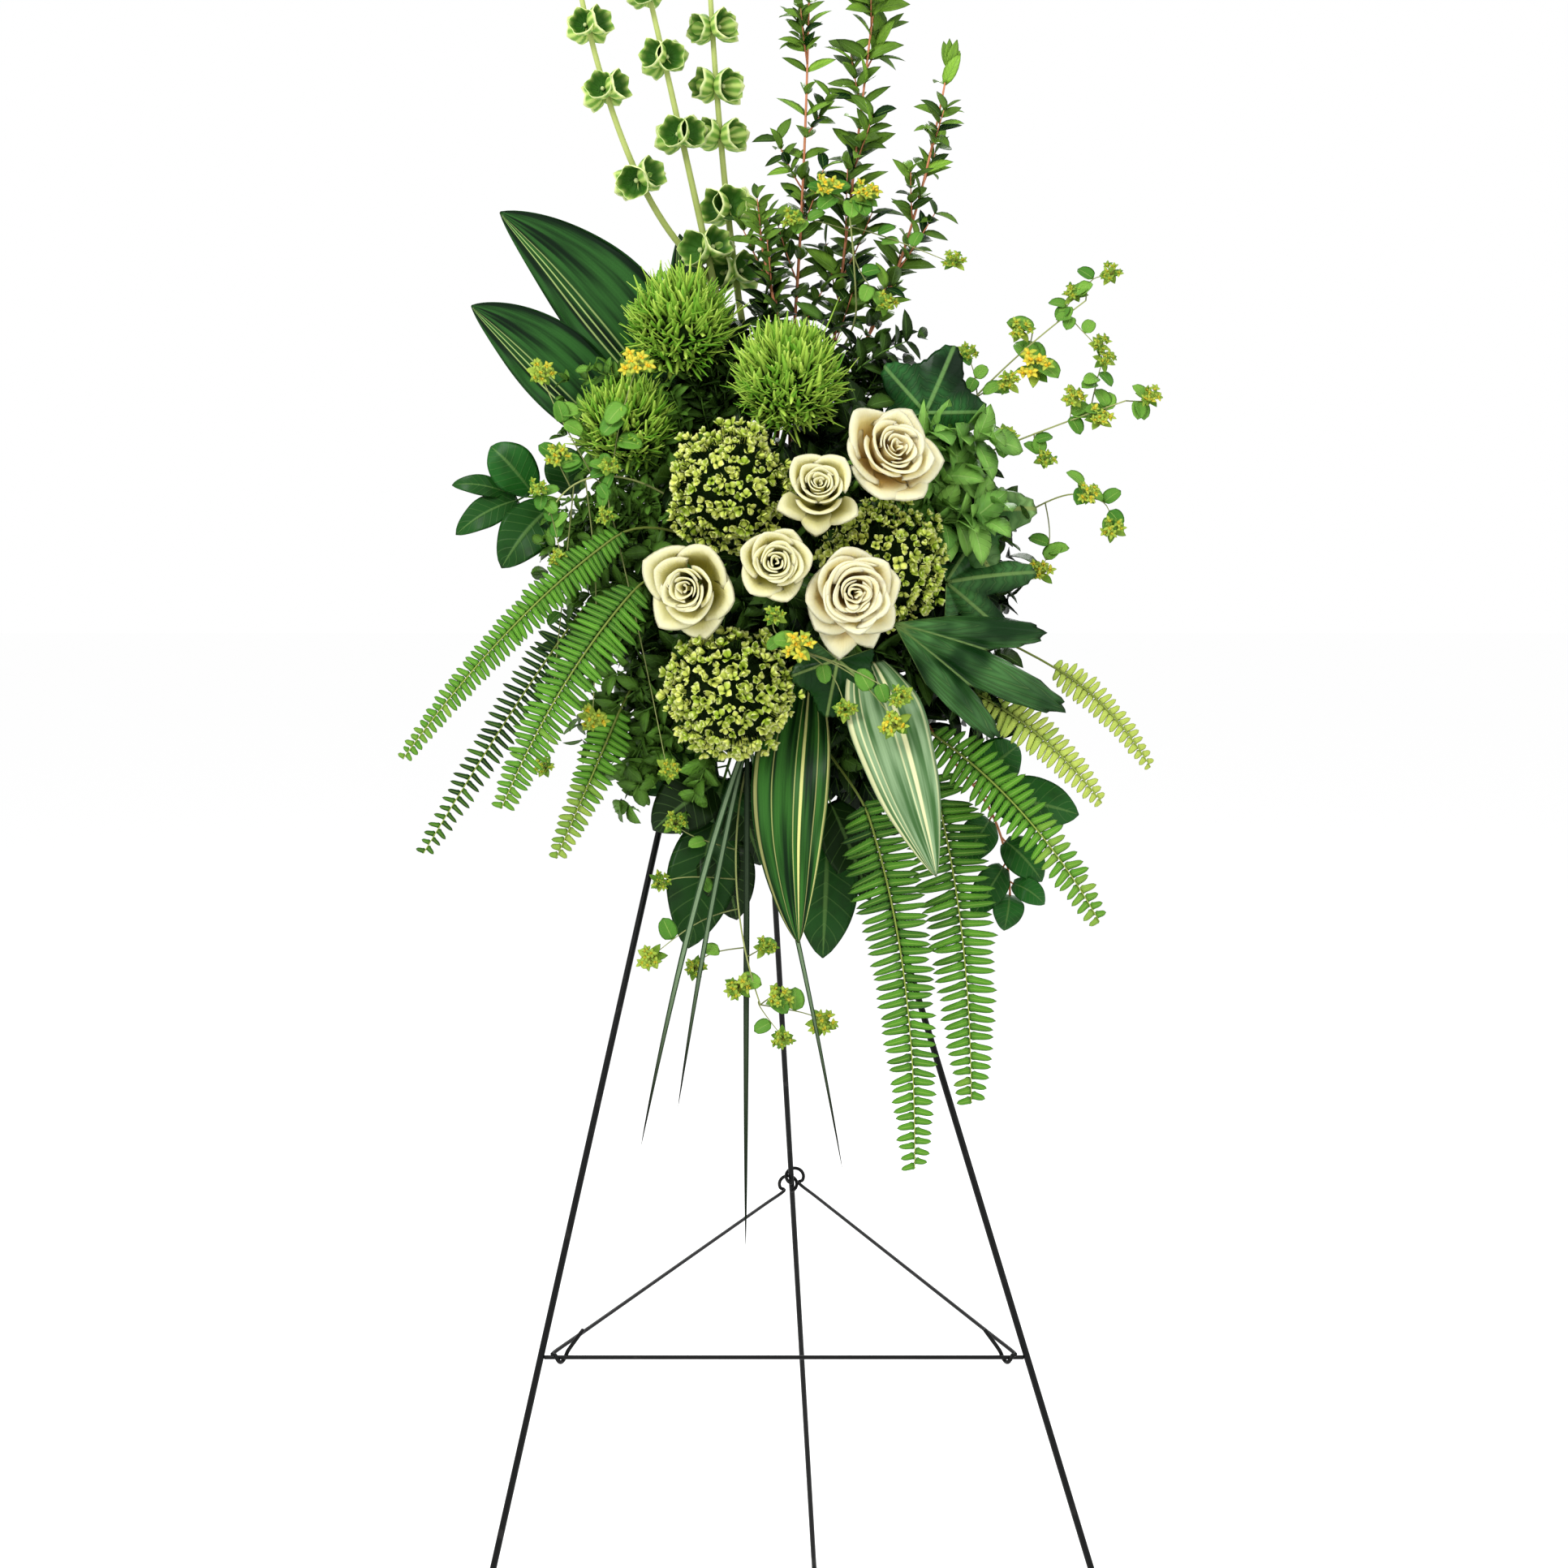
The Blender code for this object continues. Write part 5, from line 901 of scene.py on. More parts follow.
def lobed_finish(name, lobes, dark, light, vein):
    """Glossy green with a thin pale vein down the middle of each lobe and faint ones beside it, and patches
    of painted sheen that are lighter between the side veins.
    """
    finish = Finish(name, Coat_Weight=0.12, Coat_Roughness=0.18, Specular_IOR_Level=0.05)
    across, along = finish.across(), finish.along()
    off_vein = abs((across * (lobes - 1.0) + 0.5) % 1.0 - 0.5) * along
    main = finish.step(off_vein, 0.036, 0.012)
    side_veins = finish.lines(along * 9.0 - off_vein * 9.0, 1.0)
    # Painted sheen: lighter streaks between the side veins where the gloss would catch the light.
    sheen = finish.step(finish.noise(16.0, 2.0), 0.40, 0.66)
    body = finish.mix(sheen * (0.55 + finish.step(side_veins, 0.2, 0.9) * 0.35), dark, light)
    body = finish.mix(finish.step(off_vein, 0.10, 0.4) * 0.5, body, dark)
    body = finish.mix(finish.step(side_veins, 0.14, 0.0) * 0.35 * sheen, body, vein)
    body = finish.mix(main * (0.95 - along * 0.35), body, vein)
    finish.wear(Base_Color=body, Roughness=0.28 + finish.noise(70.0) * 0.16)
    height = main * 0.6 + finish.step(side_veins, 0.2, 0.0) * 0.3 + finish.noise(120.0) * 0.4
    return finish.relief(height, 0.0008)


def fan(junction, ahead, facing, reach, lobes, notch, fullness, spread):
    """A lobed leaf in polar form: the reach rises at each lobe and falls between, the lobes end in soft
    points, and the blade dips towards its rim."""
    forward, facing = unit(ahead), np.array(facing, float)
    across = unit(np.cross(forward, facing))
    outward = np.cross(across, forward)
    t, s = np.linspace(0.02, 1, 18)[:, None], np.linspace(-1, 1, 73)[None]
    swing = s * math.radians(spread)
    wave = 0.5 + 0.5 * np.cos(s * (lobes - 1) * math.pi)
    share = (notch + (1 - notch) * wave ** fullness) * (1 - 0.38 * np.abs(s) ** 1.5)
    teeth = 1 + 0.02 * np.sin(s * (lobes - 1) * 7 * math.pi)
    out = reach * t * share * teeth
    hollow = 0.05 * np.cos(s * (lobes - 1) * math.pi) * t * reach
    lift = hollow - 0.18 * reach * (t * share) ** 2
    middle = (np.array(junction) + forward * (out * np.cos(swing))[..., None]
              + across * (out * np.sin(swing))[..., None] + outward * lift[..., None])
    return blades(middle[None], LOBED_THICKNESS)


for leaf_name, (junction, ahead, facing, reach, lobes, notch, fullness, spread, light) in LOBED.items():
    # The leaf's colours grow lighter with light: partly its own green, partly painted light and shade for how
    # lit it stands.
    deep = colour(4 + 16 * light, 26 + 30 * light, 8 + 10 * light)
    bright = colour(46 + 56 * light, 104 + 44 * light, 48 + 34 * light)
    finish = lobed_finish(leaf_name + "_green", lobes, deep, bright, colour(104 + 20 * light, 146, 80))
    skin = fan(junction, ahead, facing, reach, lobes, notch, fullness, spread)
    make(leaf_name + "_leaf", [(skin, 0.5)], finish, "dark_leaf", leaf_name)
    foot = np.array(junction) + unit(ahead) * reach * 0.16
    arrival = np.array(ahead) * 0.4 + (0, -0.8, 0)
    stalk = tube(stem_path(foot, arrival)[:-1], LOBED_STALK)
    make(leaf_name + "_stalk", [(stalk, 0.6)], green_stem, "dark_leaf")


# Sword ferns: arching fronds, each a thin rib with a ladder of narrow leaflets on both sides that
# shorten towards the tip.
FRONDS = {
    # start, middle, end, width, pitch of the leaflets, their breadth in pitches, brightness: partly the
    # frond's own green, partly painted light and shade for how lit it stands
    "fern_left_upper": ((-0.165, -0.250, 1.285), (-0.262, -0.272, 1.200), (-0.362, -0.270, 1.082),
                        0.040, 0.0060, 1.15, 0.42),
    "fern_left_dark": ((-0.205, -0.205, 1.215), (-0.272, -0.215, 1.118), (-0.351, -0.235, 0.991),
                       0.046, 0.0074, 0.74, 0.05),
    "fern_left_bright": ((-0.150, -0.285, 1.235), (-0.212, -0.312, 1.150), (-0.268, -0.312, 1.042),
                         0.060, 0.0060, 1.1, 0.40),
    "fern_left_lower": ((-0.170, -0.235, 1.120), (-0.195, -0.255, 1.060), (-0.225, -0.262, 0.991),
                        0.044, 0.0066, 1.1, 0.56),
    "fern_right_upper": ((0.165, -0.215, 1.135), (0.222, -0.232, 1.095), (0.274, -0.240, 1.039),
                         0.044, 0.0070, 1.1, 0.98),
    "fern_right_middle": ((0.120, -0.225, 1.100), (0.200, -0.262, 1.030), (0.269, -0.270, 0.933),
                          0.056, 0.0082, 1.0, 0.48),
    "fern_right_high": ((0.236, -0.185, 1.160), (0.284, -0.192, 1.122), (0.325, -0.200, 1.068),
                        0.034, 0.0066, 1.1, 1.00),
    "fern_front_long": ((0.055, -0.262, 1.040), (0.090, -0.285, 0.890), (0.101, -0.290, 0.709),
                        0.068, 0.0082, 1.04, 0.32),
    "fern_front_short": ((0.119, -0.225, 1.060), (0.146, -0.240, 0.920), (0.156, -0.245, 0.759),
                         0.076, 0.0084, 1.02, 0.38),
}
FROND_BOWS = {"fern_front_long": (0, 0, -0.012)}
LEAFLET_THICKNESS, RIB_RADII = 0.0005, (0.0013, 0.0004)

fern_finish = Finish("sword_fern_leaflet", Specular_IOR_Level=0.14)
across, along, tone = fern_finish.across(), fern_finish.along(), fern_finish.tone()
leaflet = fern_finish.mix(fern_finish.step(tone, 0.0, 0.5), colour(14, 50, 12), colour(84, 142, 36))
leaflet = fern_finish.mix(fern_finish.step(tone, 0.5, 1.0), leaflet, colour(180, 198, 88))
midrib = fern_finish.step(abs(across - 0.5), 0.10, 0.02)
leaflet = fern_finish.mix(midrib * 0.3, leaflet, colour(160, 188, 90))
leaflet = fern_finish.mix(fern_finish.step(along, 0.30, 0.0) * 0.4, leaflet, colour(20, 54, 14))
fern_finish.wear(Base_Color=leaflet, Roughness=0.48 + fern_finish.noise(90.0) * 0.2)
fern_finish.relief(fern_finish.lines(along * 9.0 + abs(across - 0.5) * 4.0, 1.0), 0.0003)
rib_finish = stem_finish("fern_rib", colour(140, 160, 66), colour(96, 108, 44))


def strap(t):
    """Half-width share of a fern leaflet: an ear at the root, then nearly parallel sides to a blunt point."""
    ear = 0.20 * np.exp(-((t - 0.08) / 0.12) ** 2)
    return (1 - t ** 6) ** 0.7 * (0.90 - 0.20 * t + ear) * np.minimum(1, 0.7 + 6 * t)


def frond(start, middle, end, width, pitch, fullness, tone_and_painted_light, draw):
    """Leaflets in pairs along the parabola. Their reach swells from a third at the foot and falls as a root
    of what is left towards the tip, and each bends a little forwards and down."""
    points = through(start, middle, end, np.linspace(0, 1, 60))[0]
    length = np.linalg.norm(np.diff(points, axis=0), axis=1).sum()
    pairs = int(length / pitch)
    t = np.repeat((np.arange(pairs) + 0.5) / pairs, 2)
    side = np.tile((-1.0, 1.0), pairs)[:, None]
    t = np.clip(t + side[:, 0] * 0.25 / pairs, 0, 1)
    point, direction = through(start, middle, end, t)
    along_rib = unit(direction)
    across = unit(np.cross(along_rib, (0, -1, 0.35)))
    outward = np.cross(across, along_rib)
    reach = width / 2 * np.minimum(1, 0.50 + 3.2 * t) * 1.12 * np.maximum(1.06 - t, 0.06) ** 0.42
    reach = reach * draw.uniform(0.94, 1.08, len(t))
    way = across * side + along_rib * (0.12 + 0.22 * t[:, None] + draw.normal(0, 0.05, (len(t), 1)))
    way = way + outward * (draw.normal(0, 0.06, (len(t), 1)) - 0.06)
    facing = outward + along_rib * draw.normal(0.22, 0.08, (len(t), 1))
    breadth = np.minimum(pitch * fullness * draw.uniform(0.93, 1.07, len(t)), reach * 0.8)
    skins = leaves(point, way, facing, reach, breadth, strap, rows=8, columns=5,
                   curl=draw.uniform(0.1, 0.6, len(t)), cup=-0.15, thickness=LEAFLET_THICKNESS)
    # Darker towards the foot of the frond and lighter towards its tip: painted shade and light.
    tones = np.clip(tone_and_painted_light + draw.normal(0, 0.06, len(t)) + 0.32 * (t - 0.45), 0, 1)
    return skins, tones


def tapered(path, radii, sides):
    """A tube whose radius falls evenly from the first of two radii to the second."""
    return tube(path, np.linspace(*radii, len(path)), sides)


for seed, (fern_name, (start, middle, end, width, pitch, fullness, tone_and_painted_light)) in enumerate(FRONDS.items()):
    draw = np.random.default_rng(seed + 100)
    foot, arrival = through(start, middle, end, 0.03)
    stalk = stem_path(foot, arrival, FROND_BOWS.get(fern_name, (0, 0, 0)))
    rib = through(start, middle, end, np.linspace(0.03, 1, 40))[0]
    leaflets = frond(start, middle, end, width, pitch, fullness, tone_and_painted_light, draw)
    make(fern_name + "_leaflets", [leaflets], fern_finish, "fern", fern_name)
    spine = tapered(np.vstack([stalk, rib[1:]]), RIB_RADII, 8)
    make(fern_name + "_rib", [(spine, 0.5)], rib_finish, "fern")


# Lily grass: a bunch of narrow arching blades, pale down the middle, with dry dark tips. They grow from
# one foot that is pushed into the foam, and hang free in front of the easel.
GRASS_TIPS = (((-0.150, -0.262, 0.722), 0.0062), ((-0.116, -0.255, 0.757), 0.0054),
              ((0.036, -0.262, 0.700), 0.0048), ((-0.054, -0.240, 0.619), 0.0056))
GRASS_ROOT, GRASS_STEM = np.array((-0.052, -0.222, 1.095)), 0.0033

grass_finish = Finish("lily_grass_blade", Specular_IOR_Level=0.15)
across, along, tone = grass_finish.across(), grass_finish.along(), grass_finish.tone()
blade_colour = grass_finish.mix(grass_finish.step(abs(across - 0.5), 0.36, 0.20), colour(34, 66, 30),
                                colour(128, 152, 116))
blade_colour = grass_finish.mix(grass_finish.step(along, 0.55, 0.97), blade_colour, colour(22, 26, 16))
grass_finish.wear(Base_Color=grass_finish.mix(tone, blade_colour, colour(14, 30, 12)),
                  Roughness=0.42 + grass_finish.noise(80.0) * 0.15)
grass_finish.relief(grass_finish.lines(across, 7.0), 0.0003)
grass_stem = stem_path(GRASS_ROOT, (0, -0.5, -1))


def grass_blade(t):
    """Half-width share of a grass blade: a sine from its rise over its top to the fine tip."""
    return np.sin(math.pi * (0.25 + 0.75 * t)) ** 0.6


grass_layers = []
for (tip, width), shade in zip(GRASS_TIPS, (0.05, 0.2, 0.1, 0.85)):
    middle = (GRASS_ROOT + tip) / 2 + (0, -0.006, 0.03 * abs(tip[0] + 0.05) / 0.1)
    blade = ribbon(GRASS_ROOT, middle, tip, (0, -1, 0.1), width, profile=grass_blade, cup=0.35, rows=60,
                   columns=7)
    grass_layers.append((blade, shade))
make("lily_grass_blades", grass_layers, grass_finish, "grass", "lily_grass")
grass_foot = knob(GRASS_ROOT, (0, 0, 1), 0.005, 0.008, 0, 8, 12)
make("lily_grass_foot", [(tube(grass_stem, GRASS_STEM), 0.3), (grass_foot, 0.4)], green_stem, "grass")


# Bells of Ireland: tall pale stems with whorls of papery green cups, each round a small white seed
# case, and with short spiny leaves under the whorl.
BELL_STEMS = {
    "bells_left": ((-0.105, -0.130, 1.545), (-0.175, -0.148, 1.668), (-0.225, -0.150, 1.885),
                   (0.33, 0.575, 0.72, 0.86, 0.97)),
    "bells_middle": ((-0.084, -0.132, 1.520), (-0.122, -0.136, 1.690), (-0.160, -0.140, 1.855),
                     (0.09, 0.40, 0.61, 0.79, 0.94)),
    "bells_right": ((-0.060, -0.110, 1.500), (-0.080, -0.106, 1.680), (-0.092, -0.110, 1.890),
                    (0.10, 0.27, 0.45, 0.57, 0.70, 0.83, 0.95)),
}
BELL_SIZE, BELL_RADII, CUPS = 0.0168, (0.0038, 0.0022), np.radians((38, 142, 212, 328))

bell_finish = Finish("bell_cup", Specular_IOR_Level=0.14)
across, along, tone = bell_finish.across(), bell_finish.along(), bell_finish.tone()
ribs = bell_finish.step(bell_finish.lines(across, 5.0), 0.15, 0.85)
cup = bell_finish.mix(ribs, colour(112, 156, 58), colour(186, 208, 112))
# Darker down the inside of the cup: painted shade.
cup = bell_finish.mix(bell_finish.step(along, 0.58, 0.80), cup, colour(44, 88, 20))
cup = bell_finish.mix(bell_finish.step(abs(along - 0.52), 0.10, 0.03), cup, colour(224, 232, 166))
cup = bell_finish.mix(tone * 0.4, cup, colour(72, 118, 40))
bell_finish.wear(Base_Color=cup, Roughness=0.5 + tone * 0.15)
bell_finish.relief(ribs + bell_finish.noise(260.0) * 0.5, 0.0006)
bell_stem = stem_finish("pale_bell_stem", colour(176, 188, 110), colour(120, 134, 62))
seed_finish = Finish("pale_seed_case", Specular_IOR_Level=0.15)
seed_tint = seed_finish.mix(seed_finish.noise(300.0), colour(206, 212, 160), colour(160, 180, 100))
seed_finish.wear(Base_Color=seed_tint, Roughness=0.5 + seed_finish.noise(200.0) * 0.2)


def bell_cups(roots, outward, size, draw):
    """Thin cups turned about their own axis: the section goes up the outside, over the rim and down the
    inside, and the rim is drawn out to five shallow points that flare and wave."""
    count, columns = len(roots), 20
    forward, side, top = axes_of(outward)
    ring = np.array((0, 0.30, 0.62, 0.86, 0.97, 0.98, 0.94, 0.90, 0.72, 0.42, 0))[None, :, None]
    lift = np.array((0, 0.02, 0.20, 0.52, 0.86, 1.16, 1.18, 0.92, 0.60, 0.30, 0.22))[None, :, None]
    turn = np.arange(columns)[None, None] * 2 * math.pi / columns
    flare = np.array((0, 0, 0, 0.2, 0.6, 1, 1, 0.6, 0.2, 0, 0))[None, :, None]
    points = np.cos(5 * turn)
    size = size[:, None, None]
    reach = size * ring * (1 + 0.08 * flare * points)
    wave = 0.07 * np.sin(2 * turn + draw.uniform(0, 6.3, (count, 1, 1)))
    height = size * (lift + flare * (0.12 * points + wave))
    return rounds(roots[:, None, None] + forward[:, None, None] * height[..., None]
                  + side[:, None, None] * (reach * np.cos(turn))[..., None]
                  + top[:, None, None] * (reach * np.sin(turn))[..., None])


def balls(centres, radius):
    """Small round beads: a sphere of five rows and six columns on every centre."""
    polar, turn = np.linspace(0, math.pi, 5)[:, None], np.arange(6)[None] * 2 * math.pi / 6
    ball = np.stack([np.sin(polar) * np.cos(turn), np.sin(polar) * np.sin(turn),
                     np.cos(polar) + 0 * turn], -1)
    radius = np.broadcast_to(radius, len(centres))[:, None, None, None]
    return rounds(centres[:, None, None] + ball[None] * radius)


for seed, (stem_name, (start, middle, end, whorls)) in enumerate(BELL_STEMS.items()):
    draw = np.random.default_rng(seed + 130)
    lower = stem_path(start, through(start, middle, end, 0)[1])
    spine = np.vstack([lower, through(start, middle, end, np.linspace(0, 1, 30)[1:])[0]])
    place = np.repeat(np.array(whorls), len(CUPS))
    point, direction = through(start, middle, end, place)
    forward, side, top = axes_of(direction)
    turn = (np.tile(CUPS, len(whorls)) + np.repeat(draw.uniform(-0.2, 0.2, len(whorls)), len(CUPS))
            + draw.normal(0, 0.14, len(place)))[:, None]
    outward = side * np.cos(turn) + top * np.sin(turn)
    tilt = unit(outward + forward * draw.uniform(-0.1, 0.4, (len(place), 1)))
    size = BELL_SIZE * (1.05 - 0.3 * place) * draw.uniform(0.88, 1.05, len(place))
    cups = bell_cups(point + outward * 0.003, tilt, size, draw)
    spines = leaves(point + outward * 0.003, outward - forward * 0.5, forward, size * 1.1, size * 0.20,
                    lambda t: 1 - t, rows=4, columns=3, curl=0.3)
    make(stem_name + "_cups", [(cups, draw.uniform(0, 1, len(place)))], bell_finish, "pale_bells", stem_name)
    seeds = balls(point + outward * 0.003 + tilt * size[:, None] * 0.42, size * 0.16)
    make(stem_name + "_seeds", [(seeds, 0.5)], seed_finish, "pale_bells")
    stalk = tapered(spine, BELL_RADII, 12)
    make(stem_name + "_stem", [(stalk, 0.7), (spines, 0.5)], bell_stem, "pale_bells")


# Myrtle: upright reddish stems with crossed pairs of small pointed glossy leaves, and leafy twigs low
# on each stem.
MYRTLE_STEMS = {
    # start, middle, end, pairs, leaf length, twigs
    "myrtle_left": ((-0.008, -0.118, 1.485), (0.001, -0.122, 1.640), (0.006, -0.125, 1.815), 17, 0.034, 8),
    "myrtle_middle": ((0.030, -0.110, 1.470), (0.050, -0.104, 1.640), (0.074, -0.105, 1.840), 18, 0.042, 9),
    "myrtle_right": ((0.066, -0.120, 1.480), (0.104, -0.128, 1.580), (0.136, -0.132, 1.722), 11, 0.034, 6),
    "myrtle_bushy": ((-0.022, -0.160, 1.480), (-0.034, -0.158, 1.530), (-0.042, -0.160, 1.572), 7, 0.028, 5),
}
MYRTLE_RADII, TWIG_RADII = (0.0019, 0.0009), (0.0009, 0.0005)


def leaf_finish(name, dark, light, vein, gloss=0.05, count=7.0):
    """A green leaf: its own tone, a pale midrib, slanting side veins and a slightly uneven shine."""
    finish = Finish(name, Coat_Weight=gloss, Coat_Roughness=0.25, Specular_IOR_Level=0.08)
    across, along, tone = abs(finish.across() - 0.5) * 2.0, finish.along(), finish.tone()
    veins = finish.lines(along * count - across * 1.6, 1.0)
    body = finish.mix(tone, dark, light)
    body = finish.mix(finish.step(finish.noise(45.0, 3.0), 0.45, 0.75) * 0.5, body, dark)
    body = finish.mix(finish.step(veins, 0.16, 0.0) * 0.25, body, vein)
    body = finish.mix(finish.step(across, 0.10, 0.03) * 0.5, body, vein)
    finish.wear(Base_Color=body, Roughness=0.34 + finish.noise(80.0) * 0.18)
    return finish.relief(finish.step(veins, 0.25, 0.0) * 0.4 + finish.step(across, 0.12, 0.0) * 0.8, 0.0005)


myrtle_leaf = leaf_finish("myrtle_leaf", colour(8, 42, 10), colour(128, 172, 58), colour(120, 158, 74), 0.06)
red_stem = stem_finish("red_brown_stem", colour(196, 128, 92), colour(150, 92, 62))


def leaf_pairs(points, directions, length, draw, lean=0.8, breadth=0.42, columns=5):
    """Opposite leaves: each pair stands square to the one below it, leans along the stem and turns its face
    partly to the viewer, from where the light comes."""
    forward, side, top = axes_of(directions)
    count = len(points)
    turn = (np.arange(count) * math.pi / 2)[:, None] + draw.normal(0, 0.3, (count, 1))
    outward = side * np.cos(turn) + top * np.sin(turn)
    both = np.concatenate([outward, -outward])
    forward, points = np.tile(forward, (2, 1)), np.tile(points, (2, 1))
    way = both + forward * draw.uniform(lean * 0.6, lean * 1.4, (2 * count, 1))
    way = way + draw.normal(0, 0.15, (2 * count, 3))
    facing = forward * 0.6 - both * 0.3 + (0, -0.9, 0.3) + draw.normal(0, 0.25, (2 * count, 3))
    size = np.tile(length, 2) * draw.uniform(0.8, 1.15, 2 * count)
    return leaves(points, way, facing, size, size * breadth, oval, rows=6, columns=columns,
                  curl=draw.uniform(0.1, 0.8, 2 * count), cup=0.35)


for seed, (stem_name, (start, middle, end, pairs, length, twigs)) in enumerate(MYRTLE_STEMS.items()):
    draw = np.random.default_rng(seed + 160)
    lower = stem_path(start, through(start, middle, end, 0)[1])
    upper = through(start, middle, end, np.linspace(0, 1, 30))[0]
    place = (np.arange(pairs) + 0.4) / pairs
    points, ways = through(start, middle, end, place)
    layers = [(leaf_pairs(points, ways, length * (1.05 - 0.25 * place), draw),
               np.clip(draw.normal(0.30, 0.26, 2 * pairs) + np.tile(place, 2) * 0.45, 0, 1))]
    tip, way = through(start, middle, end, 1.0)
    tuft = unit(way + draw.normal(0, 0.35, (5, 3)) * np.linalg.norm(way))
    roots = np.tile(tip - unit(way) * 0.003, (5, 1))
    layers.append((leaves(roots, tuft, (0.3, -1, 0.1), length * 0.8, length * 0.30, oval, curl=0.2),
                   draw.uniform(0.6, 1.0, 5)))
    wood = [(tapered(np.vstack([lower, upper[1:]]), MYRTLE_RADII, 8), 0.5)]
    for twig in range(twigs):
        share = -0.08 + 0.95 * (twig + draw.uniform(0, 1)) / twigs
        base, way = through(start, middle, end, share)
        forward, side, top = axes_of(way)
        turn = twig * 2.4
        lean = side * math.cos(turn) + top * math.sin(turn) * 0.5 + forward * draw.uniform(1.0, 1.8)
        reach = draw.uniform(0.7, 1.0) * (0.066 - 0.030 * share)
        t = np.linspace(0, 1, 8)[:, None]
        path = base + unit(lean) * reach * t + forward * reach * 0.25 * t ** 2
        wood.append((tapered(path, TWIG_RADII, 6), 0.5))
        layers.append((leaf_pairs(path[2:], np.gradient(path, axis=0)[2:], np.full(6, length * 0.72), draw),
                       np.clip(draw.normal(0.20, 0.22, 12) + 0.4 * share, 0, 1)))
    make(stem_name + "_leaves", layers, myrtle_leaf, "myrtle_leaf", stem_name)
    make(stem_name + "_wood", wood, red_stem, "myrtle_leaf")


# Salal: woody sprigs with broad leathery leaves that come to a point. The sprigs are cut short and pushed
# into the foam at the left, under the blooms and at the right.
SPRIGS = {
    # start, middle, end, leaves: place on the stem, tip and width, then light or dark
    "salal_left": ((-0.190, -0.155, 1.318), (-0.235, -0.160, 1.318), (-0.272, -0.165, 1.322), (
        (0.95, (-0.328, -0.180, 1.330), 0.020), (0.70, (-0.292, -0.175, 1.366), 0.044),
        (0.85, (-0.325, -0.180, 1.284), 0.030), (0.45, (-0.282, -0.185, 1.253), 0.050),
        (0.30, (-0.225, -0.180, 1.365), 0.040)), 0.45),
    "salal_lower_left": ((-0.070, -0.195, 1.070), (-0.078, -0.200, 1.040), (-0.082, -0.203, 1.010), (
        (0.02, (-0.168, -0.205, 1.050), 0.044), (0.05, (-0.040, -0.200, 0.975), 0.056),
        (0.10, (-0.090, -0.195, 1.000), 0.060), (0.20, (-0.140, -0.215, 1.010), 0.056),
        (0.60, (-0.108, -0.212, 0.898), 0.066), (0.95, (-0.062, -0.212, 0.925), 0.054)), 0.05),
    "salal_lower_right": ((0.020, -0.200, 1.060), (0.022, -0.205, 1.035), (0.024, -0.210, 1.010), (
        (0.30, (0.062, -0.222, 0.945), 0.048), (0.90, (0.018, -0.230, 0.892), 0.060)), 0.10),
    "salal_right": ((0.160, -0.175, 1.050), (0.186, -0.180, 1.005), (0.196, -0.190, 0.945), (
        (0.15, (0.262, -0.175, 1.020), 0.050), (0.35, (0.150, -0.190, 0.975), 0.036),
        (0.02, (0.205, -0.165, 1.085), 0.046),
        (0.55, (0.226, -0.190, 0.958), 0.036), (0.75, (0.160, -0.195, 0.925), 0.032),
        (0.90, (0.228, -0.195, 0.937), 0.024), (0.97, (0.190, -0.195, 0.912), 0.030)), 0.50),
}
SALAL_RADII, SALAL_STALK = (0.0018, 0.0010), 0.0009

salal_leaf = leaf_finish("salal_leaf", colour(18, 38, 8), colour(36, 104, 34), colour(96, 132, 66), 0.08, 9.0)


def broad(t):
    """Half-width share of a broad leaf: round near the stalk, then a long fall to the point."""
    return np.sin(math.pi * np.clip(0.05 + 0.95 * t, 0, 1) ** 0.9) ** 0.7


for seed, (sprig_name, (start, middle, end, tips, tone)) in enumerate(SPRIGS.items()):
    draw = np.random.default_rng(seed + 190)
    lower = stem_path(start, through(start, middle, end, 0)[1])
    upper = through(start, middle, end, np.linspace(0, 1, 12))[0]
    layers, wood = [], [(tapered(np.vstack([lower, upper[1:]]), SALAL_RADII, 8), 0.5)]
    for place, tip, width in tips:
        root = through(start, middle, end, place)[0]
        span = np.array(tip) - root
        begin = root + span * 0.10
        bend = (begin + tip) / 2 + (0, -0.010 - 0.05 * width, 0.004)
        blade = ribbon(begin, bend, tip, (0, -1, 0.2), width, profile=broad, cup=0.10, wave=0.06, rows=20,
                       columns=13)
        layers.append((blade, np.clip(tone + draw.normal(0, 0.15), 0, 1)))
        wood.append((tube(np.linspace(root, begin, 4), SALAL_STALK, 6), 0.6))
    make(sprig_name + "_leaves", layers, salal_leaf, "salal_leaf", sprig_name)
    make(sprig_name + "_wood", wood, red_stem if sprig_name == "salal_right" else green_stem, "salal_leaf")


